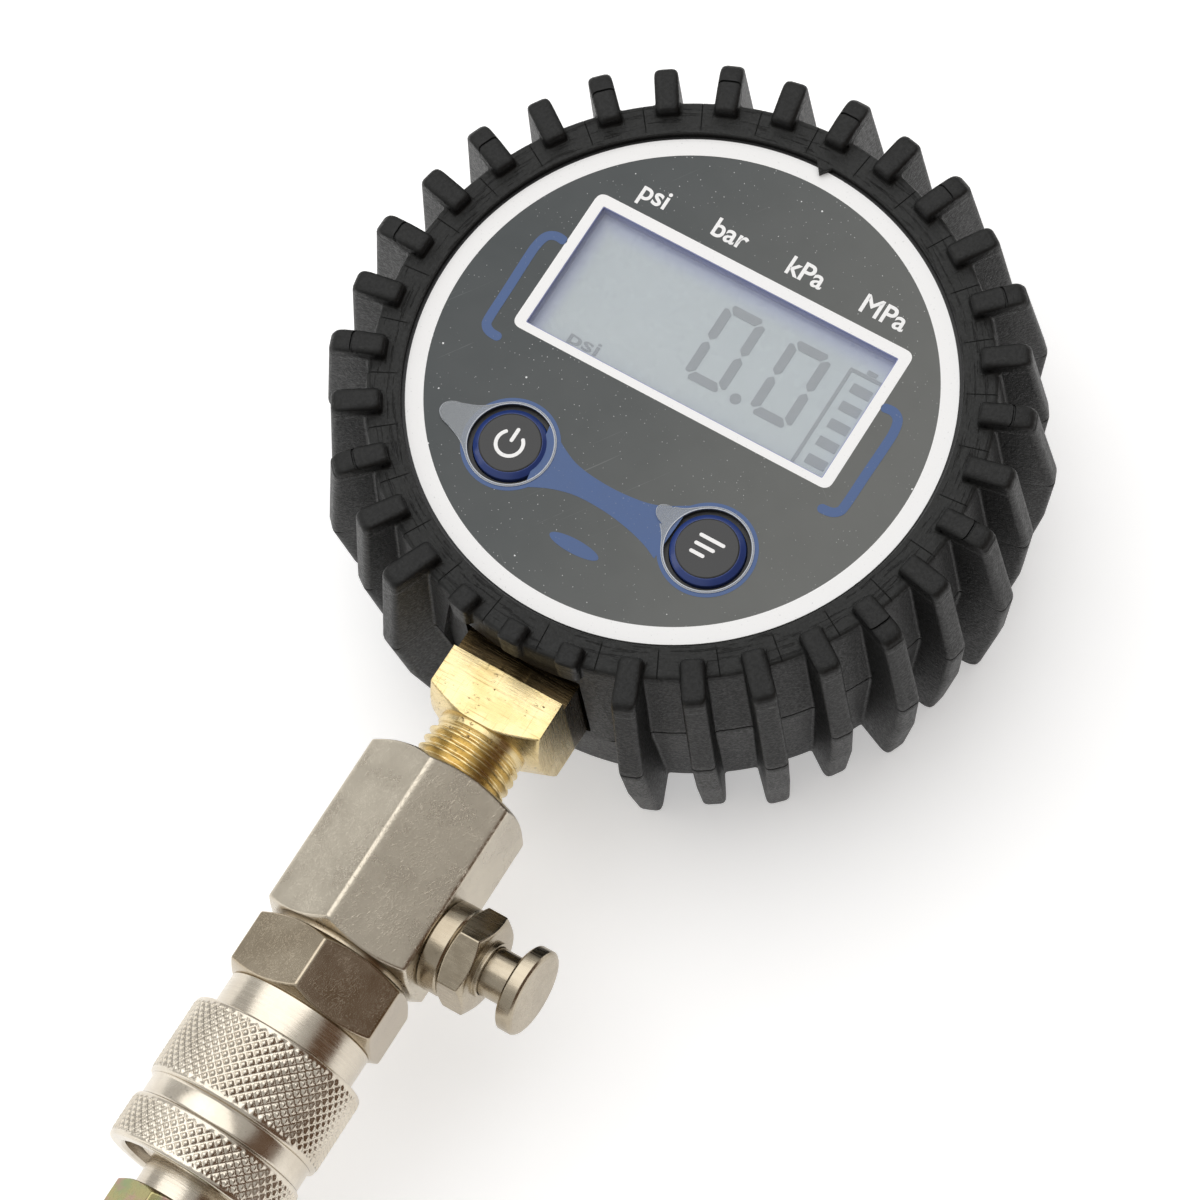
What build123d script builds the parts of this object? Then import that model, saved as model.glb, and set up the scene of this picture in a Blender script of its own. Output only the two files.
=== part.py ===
from build123d import *
import os
from math import cos, radians, sin, sqrt

# Digital tyre-pressure head on a bleed-valve manifold and quick coupler. Millimetres.
# +Z is the dial's outward normal, +Y points to twelve o'clock and the stem runs along -Y.
# The origin is the centre of the boot's back, and "station" is the distance along -Y.

# ---- driving dimensions -------------------------------------------------------------
FACE_Z = 40.0              # top of the dial label
AXIS_Z = 27.25             # height of the stem axis
SPLIT_Z = AXIS_Z           # the two case halves meet on the stem axis

TREAD_COUNT = 32
TREAD_STEP = 360.0 / TREAD_COUNT
TREAD_WIDTH = 3.2
TREAD_TOP_Z = 43.0
TREAD_INNER_R = 38.8
PLAIN_TREAD = (45.5, 47.6, 46.4, 43.4)    # radius at the front, parting line, waist and back
LONG_TREAD = (46.3, 48.8, 47.5, 44.5)     # every second one
TREAD_WAIST_Z = 14.0
PART_LINE_Z = 25.0         # mould parting line round the boot
PART_LINE_W = 0.3
PART_LINE_DEPTH = 0.25
STUB_OUTER_R = 42.1
BOOT_BACK_R = 38.9
BOOT_MID_R = 42.3
BOOT_FRONT_R = 41.15
BOOT_LIP_R = 36.45
BOOT_LIP_Z = 40.95
BOOT_FLOOR = 1.8
BOOT_BACK_OPENING_R = 31.0
PORT_TOP = (10.5, 38.3)    # half width and height of the recess round the brass fitting
PORT_SHOULDER = (13.4, 23.0)
PORT_FOOT_Z = 14.5
PORT_FLOOR_R = 40.9        # the recess stops here and a closer opening goes on round the block
PORT_GAP = 0.45
NOTCH_R = 43.3             # groove across the front of the long treads

CASE_R = 37.3
CASE_WALL = 2.2
CASE_FRONT_Z = 39.75
PLATE = 1.6
PLATE_Z = CASE_FRONT_Z - PLATE
REAR_FLOOR_Z = 4.0
REAR_BACK_Z = 0.5
REAR_BOSS_R = 30.8
LABEL_R = 36.0
WINDOW = (45.0, 19.35)
WINDOW_Y = 7.575
LENS = (46.2, 20.6, 0.75)
LENS_Z = 38.95
LCD = (50.0, 25.0)
LCD_Z = (35.9, 38.1)
BACKLIGHT_Z = (33.9, 35.9)
HOLDER = (53.2, 28.0)
BOARD_Z = (31.2, 32.8)
BOARD_R = 33.3

BUTTON_X = 14.92
BUTTON_Y = -17.88
CAP_R = 4.95
CAP_TOP_R = 4.1
CAP_TOP_Z = 40.55
CAP_BOTTOM_Z = 37.35
CAP_FLANGE_R = 5.5
MOAT_R = 5.65
SWITCH_SIZE = 6.0
SWITCH_TOP_Z = 36.3

CASE_SCREW_R = 32.2
CASE_SCREW_ANGLES = (60, 120, 220, 320)
BOARD_SCREW_X = 29.8

CELL_R = 5.25              # AAA cell
CELL_BODY = 43.3
CELL_Y = (-2.4, 8.4)
CELL_Z = 7.55
BAY_X = 24.9
BAY_Y = (-8.3, 14.3)
BAY_TOP_Z = 13.4
DOOR = (51.8, 24.6, 1.5)
DOOR_SCREW_Y = -11.8

BLOCK_WIDTH = 16.5         # the brass fitting's block stands off centre on its thread
BLOCK_BACK = 10.2
BLOCK_FRONT = 6.6
BLOCK_STATION = (27.5, 50.9)
BLOCK_STEP = (43.3, 2.0)   # the block is this much lower in front up to this station
BLOCK_END_R = 6.9          # where the end chamfer starts
CHAMFER_SLOPE = 0.52
EAR_X = 14.2
EAR_SCREW = (11.5, 29.5)
G14_R = 6.55               # outside of a G1/4 thread
G14_BORE_R = 6.57
G18_TAPPED_R = 4.283       # tapping size of a G1/8 thread
AIRWAY_R = 2.5

MANIFOLD_AF = 21.0
MANIFOLD_TURN = 26.0       # a flat's normal, degrees from +Z towards +X
MANIFOLD_STATION = (58.2, 84.4)
VALVE_STATION = 76.8
VALVE_TURN = 86.0
VALVE_FACE = MANIFOLD_AF / 2
VALVE_SEAT = 10.0
VALVE_COLLAR_R = 6.15
NUT_AF = 12.0
NUT_TURN = 37.7
NUT_START = VALVE_FACE + 3.0
NUT_END = NUT_START + 4.0
BOSS_R = 3.85
BOSS_END = NUT_END + 0.6
KNOB = (22.2, 24.6)
KNOB_R = 5.9
NECK_R = 3.35
NECK_FOOT = 15.0

ADAPTER_AF = 20.8
ADAPTER_TURN = 32.7
ADAPTER_STATION = (85.0, 93.9)
COLLAR_R = 10.14
COLLAR_END = 99.8
BARREL_R = 8.1
BARREL_END = 118.3
SOCKET_R = 6.15
NOSE_BORE_R = 4.75

BALL_R = 1.6
BALL_COUNT = 6
BALL_STATION = 112.5
BALL_CENTRE_R = 6.58
RAMP_SLOPE = 0.3           # radial ball travel per unit of sleeve travel
SLEEVE_STATION = (98.9, 119.4)
SLEEVE_R = 12.27
SLEEVE_NOSE_R = 12.2
SLEEVE_GROOVE_R = 11.55
SLEEVE_GROOVE = (110.1, 112.9)
SLEEVE_BORE_R = 10.2
SLEEVE_LAND_R = 8.15
SLEEVE_SHOULDER = 109.5
RING_STATION = 116.8

PLUG_R = 6.1
PLUG_NOSE_R = 4.7
PLUG_END = 122.7
HOSE_AF = 14.0
HOSE_TURN = 20.0
HOSE_END = 138.7

STEM = Plane(origin=(0, 0, AXIS_Z), x_dir=(1, 0, 0), z_dir=(0, -1, 0))
VALVE_DIR = (sin(radians(VALVE_TURN)), 0, cos(radians(VALVE_TURN)))
VALVE = Plane(origin=(0, -VALVE_STATION, AXIS_Z), x_dir=(0, -1, 0), z_dir=VALVE_DIR)


# ---- helpers ------------------------------------------------------------------------
def block(x0, x1, y0, y1, z0, z1):
    centre = Pos((x0 + x1) / 2, (y0 + y1) / 2, (z0 + z1) / 2)
    return centre * Box(x1 - x0, y1 - y0, z1 - z0)


def rod(radius, z0, z1, x=0.0, y=0.0):
    return Pos(x, y, (z0 + z1) / 2) * Cylinder(radius, z1 - z0)


def turned(points):
    """Solid of revolution about Z from (radius, height) points."""
    return revolve(Plane.XZ * Polygon(*points, align=None), Axis.Z)


def stem(shape):
    """Put a shape made along +Z on the stem axis, where height becomes station."""
    return STEM.location * shape


def hexagon(across_flats, turn, z0, z1):
    """Hexagonal prism with a flat's normal `turn` degrees from +Y towards +X."""
    corner = across_flats / sqrt(3)
    angles = [radians(90 - turn + 30 + 60 * k) for k in range(6)]
    outline = [(corner * cos(a), corner * sin(a)) for a in angles]
    return Pos(0, 0, z0) * extrude(Polygon(*outline, align=None), z1 - z0)


def chamfered_hexagon(across_flats, turn, z0, z1, start, end):
    """Hexagon turned down to its flats at one or both ends at thirty degrees."""
    flat = across_flats / 2 - 0.2
    corner = across_flats / sqrt(3) + 0.3
    drop = (corner - flat) * CHAMFER_SLOPE
    points = [(0, z0)]
    points += [(flat, z0), (corner, z0 + drop)] if start else [(corner, z0)]
    points += [(corner, z1 - drop), (flat, z1)] if end else [(corner, z1)]
    points += [(0, z1)]
    return hexagon(across_flats, turn, z0, z1) & turned(points)


def coil(mean_r, wire_r, z0, z1, turns):
    """Open helical spring that fills z0 to z1."""
    height = z1 - z0 - 2 * wire_r
    path = Helix(height / turns, height, mean_r)
    start = Plane(path @ 0, z_dir=path % 0)
    spring = sweep(start * Circle(wire_r), path, is_frenet=True)
    return Pos(0, 0, z0 + wire_r) * spring


def torus(mean_r, ring_r, z):
    return Pos(0, 0, z) * Torus(mean_r, ring_r)


def on_circle(radius, angle):
    return radius * cos(radians(angle)), radius * sin(radians(angle))


# ---- rubber boot --------------------------------------------------------------------
def tread_blank(outline, width, rounding):
    """A rib standing radially along +X with its exposed edges rounded."""
    rib = extrude(Plane.XZ * Polygon(*outline, align=None), width / 2, both=True)
    exposed = [e for e in rib.edges() if e.center().X > 42.2 or e.center().Z > 42.0]
    exposed = [e for e in exposed if e.center().Z > 0.5]
    return fillet(exposed, rounding)


def full_tread(radii, notched):
    front, middle, waist, back = radii
    outline = [
        (TREAD_INNER_R, 40.3),
        (TREAD_INNER_R, TREAD_TOP_Z),
        (front - 0.7, TREAD_TOP_Z),
        (front, TREAD_TOP_Z - 1.0),
        (middle, PART_LINE_Z),
        (waist, TREAD_WAIST_Z),
        (back, 0.0),
        (38.3, 0.0),
        (38.3, 40.3),
    ]
    rib = tread_blank(outline, TREAD_WIDTH, 0.7)
    half = TREAD_WIDTH / 2
    low = PART_LINE_Z - PART_LINE_W / 2
    high = PART_LINE_Z + PART_LINE_W / 2
    groove = block(38, middle + 1, -half - 1, half + 1, low, high)
    groove -= block(37, middle - PART_LINE_DEPTH, PART_LINE_DEPTH - half,
                    half - PART_LINE_DEPTH, low - 1, high + 1)
    if notched:
        groove += block(NOTCH_R - 0.15, NOTCH_R + 0.15, -half - 1, half + 1,
                        TREAD_TOP_Z - 0.25, TREAD_TOP_Z + 1)
    return rib - groove


def stub_tread():
    outline = [
        (TREAD_INNER_R, 40.3),
        (TREAD_INNER_R, TREAD_TOP_Z),
        (STUB_OUTER_R, TREAD_TOP_Z),
        (STUB_OUTER_R, 39.6),
        (39.6, 39.6),
    ]
    rib = extrude(Plane.XZ * Polygon(*outline, align=None), TREAD_WIDTH / 2, both=True)
    return fillet([e for e in rib.edges() if e.center().Z > 41.5], 0.7)


def make_boot():
    low = PART_LINE_Z - PART_LINE_W / 2
    high = PART_LINE_Z + PART_LINE_W / 2
    shell = turned([
        (BOOT_BACK_OPENING_R, 0),
        (BOOT_BACK_R - 0.8, 0),
        (BOOT_BACK_R, 0.8),
        (BOOT_MID_R, low),
        (BOOT_MID_R - PART_LINE_DEPTH, low),
        (BOOT_MID_R - PART_LINE_DEPTH, high),
        (BOOT_MID_R, high),
        (BOOT_FRONT_R, BOOT_LIP_Z - 0.8),
        (BOOT_FRONT_R - 0.6, BOOT_LIP_Z),
        (BOOT_LIP_R, BOOT_LIP_Z),
        (BOOT_LIP_R, CASE_FRONT_Z),
        (CASE_R, CASE_FRONT_Z),
        (CASE_R, BOOT_FLOOR),
        (BOOT_BACK_OPENING_R, BOOT_FLOOR),
    ])
    top_x, top_z = PORT_TOP
    side_x, side_z = PORT_SHOULDER
    outline = Polygon((-top_x, top_z), (-side_x, side_z), (-side_x, PORT_FOOT_Z),
                      (side_x, PORT_FOOT_Z), (side_x, side_z), (top_x, top_z), align=None)
    outline = fillet(outline.vertices().filter_by(lambda v: v.Y < side_z - 1), 4.0)
    recess = Pos(0, -30, 0) * extrude(Plane.XZ * outline, 18)
    shell -= recess - rod(PORT_FLOOR_R, 0, BOOT_LIP_Z)
    port_x = BLOCK_WIDTH / 2 + PORT_GAP
    shell -= block(-port_x, port_x, -BOOT_MID_R - 1, -CASE_R / 2,
                   AXIS_Z - BLOCK_BACK - PORT_GAP, AXIS_Z + BLOCK_FRONT + PORT_GAP)
    treads = []
    for k in range(TREAD_COUNT):
        angle = -90 + k * TREAD_STEP
        short = k in (0, 1, TREAD_COUNT - 1)
        radii = PLAIN_TREAD if k % 2 else LONG_TREAD
        notched = k % 2 == 0 and 6 <= k <= 28
        rib = stub_tread() if short else full_tread(radii, notched)
        treads.append(Rot(0, 0, angle) * rib)
    nib = Polygon((-1.3, BOOT_LIP_R + 0.4), (0, BOOT_LIP_R - 1.5), (1.3, BOOT_LIP_R + 0.4), align=None)
    treads.append(Pos(0, 0, FACE_Z) * extrude(nib, 0.8))
    return shell.fuse(*treads)


# ---- gauge case ---------------------------------------------------------------------
def case_screw_places():
    return [on_circle(CASE_SCREW_R, a) for a in CASE_SCREW_ANGLES]


def make_front_case():
    case = rod(CASE_R, SPLIT_Z, CASE_FRONT_Z) - rod(CASE_R - CASE_WALL, SPLIT_Z, PLATE_Z)
    for x, y in case_screw_places():
        case += rod(2.8, SPLIT_Z, PLATE_Z, x, y)
    for side in (-1, 1):
        case += rod(2.2, BOARD_Z[1], PLATE_Z, side * BOARD_SCREW_X)
    for x, y in case_screw_places():
        case -= rod(1.12, SPLIT_Z, 35.0, x, y)
    for side in (-1, 1):
        case -= rod(1.02, BOARD_Z[1], 36.6, side * BOARD_SCREW_X)
        case -= rod(CAP_R + 0.13, PLATE_Z, CASE_FRONT_Z, side * BUTTON_X, BUTTON_Y)
        case -= rod(MOAT_R, 39.2, CASE_FRONT_Z, side * BUTTON_X, BUTTON_Y)
    half_x, half_y = WINDOW[0] / 2, WINDOW[1] / 2
    case -= block(-half_x, half_x, WINDOW_Y - half_y, WINDOW_Y + half_y, PLATE_Z, CASE_FRONT_Z)
    half_x, half_y = LENS[0] / 2, LENS[1] / 2
    case -= block(-half_x, half_x, WINDOW_Y - half_y, WINDOW_Y + half_y, LENS_Z, CASE_FRONT_Z)
    half = BLOCK_WIDTH / 2 + 0.05
    case -= block(-half, half, -40, -30, SPLIT_Z, AXIS_Z + BLOCK_FRONT + 0.05)
    return case


def make_rear_case():
    case = rod(CASE_R, BOOT_FLOOR, SPLIT_Z) + rod(REAR_BOSS_R, REAR_BACK_Z, BOOT_FLOOR)
    case -= rod(CASE_R - CASE_WALL, REAR_FLOOR_Z, SPLIT_Z)
    case += block(-BAY_X - 1.4, BAY_X + 1.4, BAY_Y[0] - 1.4, BAY_Y[1] + 1.4, REAR_FLOOR_Z, BAY_TOP_Z + 1.4)
    for x, y in case_screw_places():
        case += rod(2.8, REAR_FLOOR_Z, SPLIT_Z, x, y)
    for side in (-1, 1):
        case += rod(2.5, REAR_FLOOR_Z, 23.25, side * EAR_SCREW[0], -EAR_SCREW[1])
    case += rod(2.6, REAR_FLOOR_Z, 9.5, 0, DOOR_SCREW_Y)
    case -= block(-BAY_X, BAY_X, *BAY_Y, 2.0, BAY_TOP_Z)
    case -= block(-DOOR[0] / 2 - 0.1, DOOR[0] / 2 + 0.1, BAY_Y[0] - 1.1, BAY_Y[1] + 1.1, REAR_BACK_Z, 2.0)
    case -= block(-5.1, 5.1, DOOR_SCREW_Y - 2.6, BAY_Y[0], REAR_BACK_Z, 2.0)
    case -= rod(1.02, 2.0, 8.5, 0, DOOR_SCREW_Y)
    for x, y in case_screw_places():
        case -= rod(1.4, BOOT_FLOOR, SPLIT_Z, x, y)
        case -= rod(2.5, BOOT_FLOOR, 3.5, x, y)
    for side in (-1, 1):
        case -= rod(1.02, 13.0, 23.25, side * EAR_SCREW[0], -EAR_SCREW[1])
    half = BLOCK_WIDTH / 2 + 0.05
    case -= block(-half, half, -40, -30, AXIS_Z - BLOCK_BACK - 0.05, SPLIT_Z)
    return case


def pan_screw(head_r, head_z, shank_r, tip_z, x, y):
    """Screw with its head between two heights and its shank running to tip_z."""
    near = head_z[1] if tip_z > head_z[1] else head_z[0]
    screw = rod(head_r, *head_z, x, y) + rod(shank_r, min(near, tip_z), max(near, tip_z), x, y)
    outer = head_z[0] if tip_z > head_z[1] else head_z[1] - 0.6
    cross = block(-head_r * 0.6, head_r * 0.6, -0.25, 0.25, outer, outer + 0.6)
    cross += block(-0.25, 0.25, -head_r * 0.6, head_r * 0.6, outer, outer + 0.6)
    return screw - Pos(x, y, 0) * cross


def make_case_screws():
    return [pan_screw(2.3, (BOOT_FLOOR, 3.5), 1.1, 34.0, x, y) for x, y in case_screw_places()]


def make_battery_door():
    door = block(-DOOR[0] / 2, DOOR[0] / 2, BAY_Y[0] - 1.0, BAY_Y[1] + 1.0, REAR_BACK_Z, 2.0)
    door += block(-5.0, 5.0, DOOR_SCREW_Y - 2.5, BAY_Y[0], REAR_BACK_Z, 2.0)
    door -= rod(1.1, REAR_BACK_Z, 2.0, 0, DOOR_SCREW_Y)
    door -= rod(2.0, REAR_BACK_Z, 1.4, 0, DOOR_SCREW_Y)
    for k in range(5):
        y = 8.0 + 1.2 * k
        door -= block(-6, 6, y - 0.3, y + 0.3, REAR_BACK_Z, REAR_BACK_Z + 0.35)
    return door


def make_door_screw():
    return pan_screw(1.9, (0.6, 1.4), 1.0, 8.0, 0, DOOR_SCREW_Y)


def make_cell(y, direction):
    cell = Rot(0, 90, 0) * (rod(CELL_R, -20.0, 23.3) + rod(1.9, 23.3, 24.5))
    cell = fillet([e for e in cell.edges().filter_by(GeomType.CIRCLE) if e.radius > 5], 0.4)
    return Pos(0, y, CELL_Z) * (cell if direction > 0 else Rot(0, 0, 180) * cell)


def make_spring_contacts():
    contacts = []
    for y, direction in ((CELL_Y[0], 1), (CELL_Y[1], -1)):
        plate = block(-BAY_X, -24.5, -4, 4, -5, 5)
        spring = Pos(-24.5, 0, 0) * (Rot(0, 90, 0) * coil(2.6, 0.3, -0.1, 4.4, 3))
        contact = plate + spring
        turn = Rot(0, 0, 0 if direction > 0 else 180)
        contacts.append(Pos(0, y, CELL_Z) * (turn * contact))
    return contacts


def make_flat_contacts():
    contacts = []
    for y, direction in ((CELL_Y[0], 1), (CELL_Y[1], -1)):
        plate = block(24.5, BAY_X, -4, 4, -5, 5)
        turn = Rot(0, 0, 0 if direction > 0 else 180)
        contacts.append(Pos(0, y, CELL_Z) * (turn * plate))
    return contacts


# ---- dial and electronics -----------------------------------------------------------
def make_face_label():
    label = rod(LABEL_R, CASE_FRONT_Z, FACE_Z)
    half_x, half_y = WINDOW[0] / 2, WINDOW[1] / 2
    label -= block(-half_x, half_x, WINDOW_Y - half_y, WINDOW_Y + half_y, CASE_FRONT_Z, FACE_Z)
    for side in (-1, 1):
        label -= rod(MOAT_R, CASE_FRONT_Z, FACE_Z, side * BUTTON_X, BUTTON_Y)
    return label


def make_lens():
    half_x, half_y = LENS[0] / 2, LENS[1] / 2
    return block(-half_x, half_x, WINDOW_Y - half_y, WINDOW_Y + half_y, LENS_Z, LENS_Z + LENS[2])


def make_button_cap(side):
    points = [
        (0, CAP_BOTTOM_Z),
        (CAP_FLANGE_R, CAP_BOTTOM_Z),
        (CAP_FLANGE_R, CAP_BOTTOM_Z + 0.6),
        (CAP_R, CAP_BOTTOM_Z + 0.6),
        (CAP_R, FACE_Z - 0.15),
        (CAP_TOP_R, CAP_TOP_Z),
        (0, CAP_TOP_Z),
    ]
    return Pos(side * BUTTON_X, BUTTON_Y, 0) * turned(points)


def make_pull_tab(side, angle, reach, width):
    """Clear protective film ring left round a button, with its teardrop pull tab."""
    film = rod(MOAT_R + 0.35, FACE_Z, FACE_Z + 0.12)
    tip = Pos(reach, 0, 0) * Circle(width)
    outline = make_hull((tip + Pos(1.2, 0, 0) * Circle(MOAT_R - 0.8)).edges())
    film += Rot(0, 0, angle) * (Pos(0, 0, FACE_Z) * extrude(outline, 0.12))
    film -= rod(MOAT_R, FACE_Z, FACE_Z + 0.12)
    return Pos(side * BUTTON_X, BUTTON_Y, 0) * film


def make_switch_body(side):
    x = side * BUTTON_X
    half = SWITCH_SIZE / 2
    body = block(x - half, x + half, BUTTON_Y - half, BUTTON_Y + half, BOARD_Z[1], SWITCH_TOP_Z)
    return body - rod(1.85, 34.9, SWITCH_TOP_Z, x, BUTTON_Y)


def make_switch_stem(side):
    return rod(1.75, 35.7, CAP_BOTTOM_Z, side * BUTTON_X, BUTTON_Y)


def make_lcd():
    return block(-LCD[0] / 2, LCD[0] / 2, WINDOW_Y - LCD[1] / 2, WINDOW_Y + LCD[1] / 2, *LCD_Z)


def make_backlight():
    return block(-LCD[0] / 2, LCD[0] / 2, WINDOW_Y - LCD[1] / 2 + 2.4, WINDOW_Y + LCD[1] / 2, *BACKLIGHT_Z)


def make_elastomer_strip():
    y0 = WINDOW_Y - LCD[1] / 2
    return block(-24, 24, y0, y0 + 2.0, BOARD_Z[1], LCD_Z[0])


def make_lcd_holder():
    outer_x, outer_y = HOLDER[0] / 2, HOLDER[1] / 2
    inner_x, inner_y = LCD[0] / 2 + 0.1, LCD[1] / 2 + 0.1
    holder = block(-outer_x, outer_x, WINDOW_Y - outer_y, WINDOW_Y + outer_y, BOARD_Z[1], LCD_Z[1])
    return holder - block(-inner_x, inner_x, WINDOW_Y - inner_y, WINDOW_Y + inner_y, BOARD_Z[1], LCD_Z[1])


def make_board():
    board = rod(BOARD_R, *BOARD_Z) - block(-9.5, 9.5, -40, -20.8, *BOARD_Z)
    for x, y in case_screw_places():
        board -= rod(3.0, *BOARD_Z, x, y)
    for side in (-1, 1):
        board -= rod(1.1, *BOARD_Z, side * BOARD_SCREW_X)
    return board


def make_board_screws():
    screws = []
    for side in (-1, 1):
        screws.append(pan_screw(2.0, (30.0, BOARD_Z[0]), 1.0, 36.4, side * BOARD_SCREW_X, 0))
    return screws


def make_processor():
    chip = block(-5, 5, -9, 1, 30.0, BOARD_Z[0])
    for k in range(8):
        offset = -3.85 + 1.1 * k
        chip += block(-6, 6, offset - 4.2, offset - 3.8, 30.9, BOARD_Z[0])
        chip += block(offset - 0.2, offset + 0.2, -10, 2, 30.9, BOARD_Z[0])
    return chip


def make_sensor():
    can = turned([(0, 21.5), (5.3, 21.5), (5.6, 21.9), (5.6, 29.0), (0, 29.0)])
    can -= rod(1.5, 28.0, 29.0)
    for x in (-2.54, 0, 2.54):
        can += rod(0.3, 18.5, 21.5, x)
    return stem(can)


def make_sensor_seal():
    return stem(torus(4.2, 0.72, 29.75))


# ---- brass fitting and manifold -----------------------------------------------------
def make_gauge_fitting():
    half = BLOCK_WIDTH / 2
    start, end = BLOCK_STATION
    body = block(-half, half, -BLOCK_BACK, BLOCK_FRONT, start, end)
    corner = sqrt(half ** 2 + BLOCK_BACK ** 2) + 0.3
    drop = (corner - BLOCK_END_R) * CHAMFER_SLOPE
    cone = turned([(0, start), (corner, start), (corner, end - drop), (BLOCK_END_R, end), (0, end)])
    fitting = body & cone
    step_station, step_drop = BLOCK_STEP
    fitting -= block(-half - 1, half + 1, BLOCK_FRONT - step_drop, BLOCK_FRONT + 1, start - 1, step_station)
    fitting += block(-EAR_X, EAR_X, -4.0, 0.0, start, start + 4.0)
    fitting += rod(6.1, end, end + 1.1)
    fitting += rod(G14_R, end + 1.1, 67.9) + rod(5.9, 67.9, 68.5)
    fitting -= rod(5.65, start, 30.5)
    fitting -= rod(1.5, 30.5, 62.0) + rod(AIRWAY_R, 62.0, 68.5)
    fitting = stem(fitting)
    for side in (-1, 1):
        fitting -= rod(1.35, 20, 30, side * EAR_SCREW[0], -EAR_SCREW[1])
    return fitting


def make_fitting_screws():
    screws = []
    for side in (-1, 1):
        screws.append(pan_screw(2.3, (AXIS_Z, AXIS_Z + 1.5), 1.0, 14.0, side * EAR_SCREW[0], -EAR_SCREW[1]))
    return screws


def make_manifold():
    start, end = MANIFOLD_STATION
    body = chamfered_hexagon(MANIFOLD_AF, MANIFOLD_TURN, start, end, True, True)
    body -= rod(G14_BORE_R, start, 69.5) + rod(AIRWAY_R, 69.5, 78.9) + rod(G14_BORE_R, 78.9, end)
    port = rod(3.92, 7.3, 12) + rod(2.6, 6.7, 7.3) + rod(1.0, 0, 6.7)
    return stem(body) - VALVE.location * port


def make_thread_seal(station0, station1):
    return stem(rod(6.4, station0, station1) - rod(3.1, station0, station1))


# ---- bleed valve --------------------------------------------------------------------
def make_valve_seat():
    seat = turned([
        (0, 7.3),
        (3.9, 7.3),
        (3.9, VALVE_FACE),
        (VALVE_COLLAR_R - 0.25, VALVE_FACE),
        (VALVE_COLLAR_R, VALVE_FACE + 0.25),
        (VALVE_COLLAR_R, NUT_START - 0.3),
        (VALVE_COLLAR_R - 0.25, NUT_START),
        (0, NUT_START),
    ])
    seat -= rod(2.5, 7.3, VALVE_SEAT) + rod(1.7, VALVE_SEAT, 11.5) + rod(NECK_R + 0.05, 11.5, NUT_START)
    return VALVE.location * seat


def make_valve_nut():
    nut = chamfered_hexagon(NUT_AF, NUT_TURN, NUT_START, NUT_END, True, True)
    nut += rod(BOSS_R, NUT_END, BOSS_END)
    return VALVE.location * (nut - rod(NECK_R + 0.05, NUT_START, BOSS_END))


def make_valve_stem():
    return VALVE.location * turned([
        (0, 8.5),
        (2.2, 8.5),
        (2.2, 9.5),
        (1.2, 9.5),
        (1.2, NECK_FOOT),
        (NECK_R, NECK_FOOT),
        (NECK_R, KNOB[0]),
        (0, KNOB[0]),
    ])


def make_valve_knob():
    return VALVE.location * turned([
        (0, KNOB[0]),
        (KNOB_R - 0.4, KNOB[0]),
        (KNOB_R, KNOB[0] + 0.4),
        (KNOB_R, KNOB[1] - 0.35),
        (KNOB_R - 0.35, KNOB[1]),
        (0, KNOB[1]),
    ])


def make_valve_washer():
    return VALVE.location * (rod(2.2, 9.5, VALVE_SEAT) - rod(1.22, 9.5, VALVE_SEAT))


def make_valve_spring():
    return VALVE.location * coil(2.4, 0.25, 11.5, NECK_FOOT, 3)


# ---- quick coupler ------------------------------------------------------------------
def ramp_radius(station):
    """Inside radius of the sleeve's ball ramp, a clearance outside the resting balls."""
    contact = BALL_CENTRE_R + BALL_R * sqrt(1 + RAMP_SLOPE ** 2)
    return contact + 0.05 + RAMP_SLOPE * (station - BALL_STATION)


def make_adapter():
    start, end = ADAPTER_STATION
    body = chamfered_hexagon(ADAPTER_AF, ADAPTER_TURN, start, end, True, True)
    body += rod(9.2, MANIFOLD_STATION[1], start) + rod(G14_R, 79.5, MANIFOLD_STATION[1])
    body -= rod(3.1, 79.5, 88.0) + rod(8.5, 88.0, end)
    return stem(body)


def make_coupler_body():
    collar_start = ADAPTER_STATION[1]
    body = rod(8.48, 88.3, collar_start) + rod(COLLAR_R, collar_start, COLLAR_END)
    body += rod(BARREL_R, COLLAR_END, BARREL_END)
    body -= rod(5.5, 88.3, 95.5) + rod(4.0, 95.5, 97.5) + rod(NOSE_BORE_R, 97.5, 104.5)
    body -= rod(6.1, 100.4, 102.4) + rod(SOCKET_R, 104.5, BARREL_END)
    body -= rod(9.9, RING_STATION, RING_STATION + 0.8) - rod(7.6, RING_STATION, RING_STATION + 0.8)
    for k in range(BALL_COUNT):
        drill = Rot(0, 90, 0) * rod(BALL_R + 0.05, 4, 10)
        body -= Pos(0, 0, BALL_STATION) * (Rot(0, 0, 60 * k) * drill)
    return stem(body)


def make_sleeve():
    start, end = SLEEVE_STATION
    groove0, groove1 = SLEEVE_GROOVE
    sleeve = turned([
        (SLEEVE_BORE_R, start),
        (SLEEVE_R - 1.0, start),
        (SLEEVE_R - 0.3, start + 0.3),
        (SLEEVE_R, start + 1.0),
        (SLEEVE_R, groove0 - 0.2),
        (SLEEVE_GROOVE_R, groove0),
        (SLEEVE_GROOVE_R, groove1),
        (SLEEVE_NOSE_R, groove1 + 0.2),
        (SLEEVE_NOSE_R, end - 1.0),
        (SLEEVE_NOSE_R - 0.3, end - 0.3),
        (SLEEVE_NOSE_R - 1.0, end),
        (10.3, end),
        (9.9, end - 0.4),
        (9.9, RING_STATION),
        (ramp_radius(RING_STATION), RING_STATION),
        (SLEEVE_LAND_R, BALL_STATION + (SLEEVE_LAND_R - ramp_radius(BALL_STATION)) / RAMP_SLOPE),
        (SLEEVE_LAND_R, SLEEVE_SHOULDER),
        (SLEEVE_BORE_R, SLEEVE_SHOULDER),
    ])
    return stem(sleeve)


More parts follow.
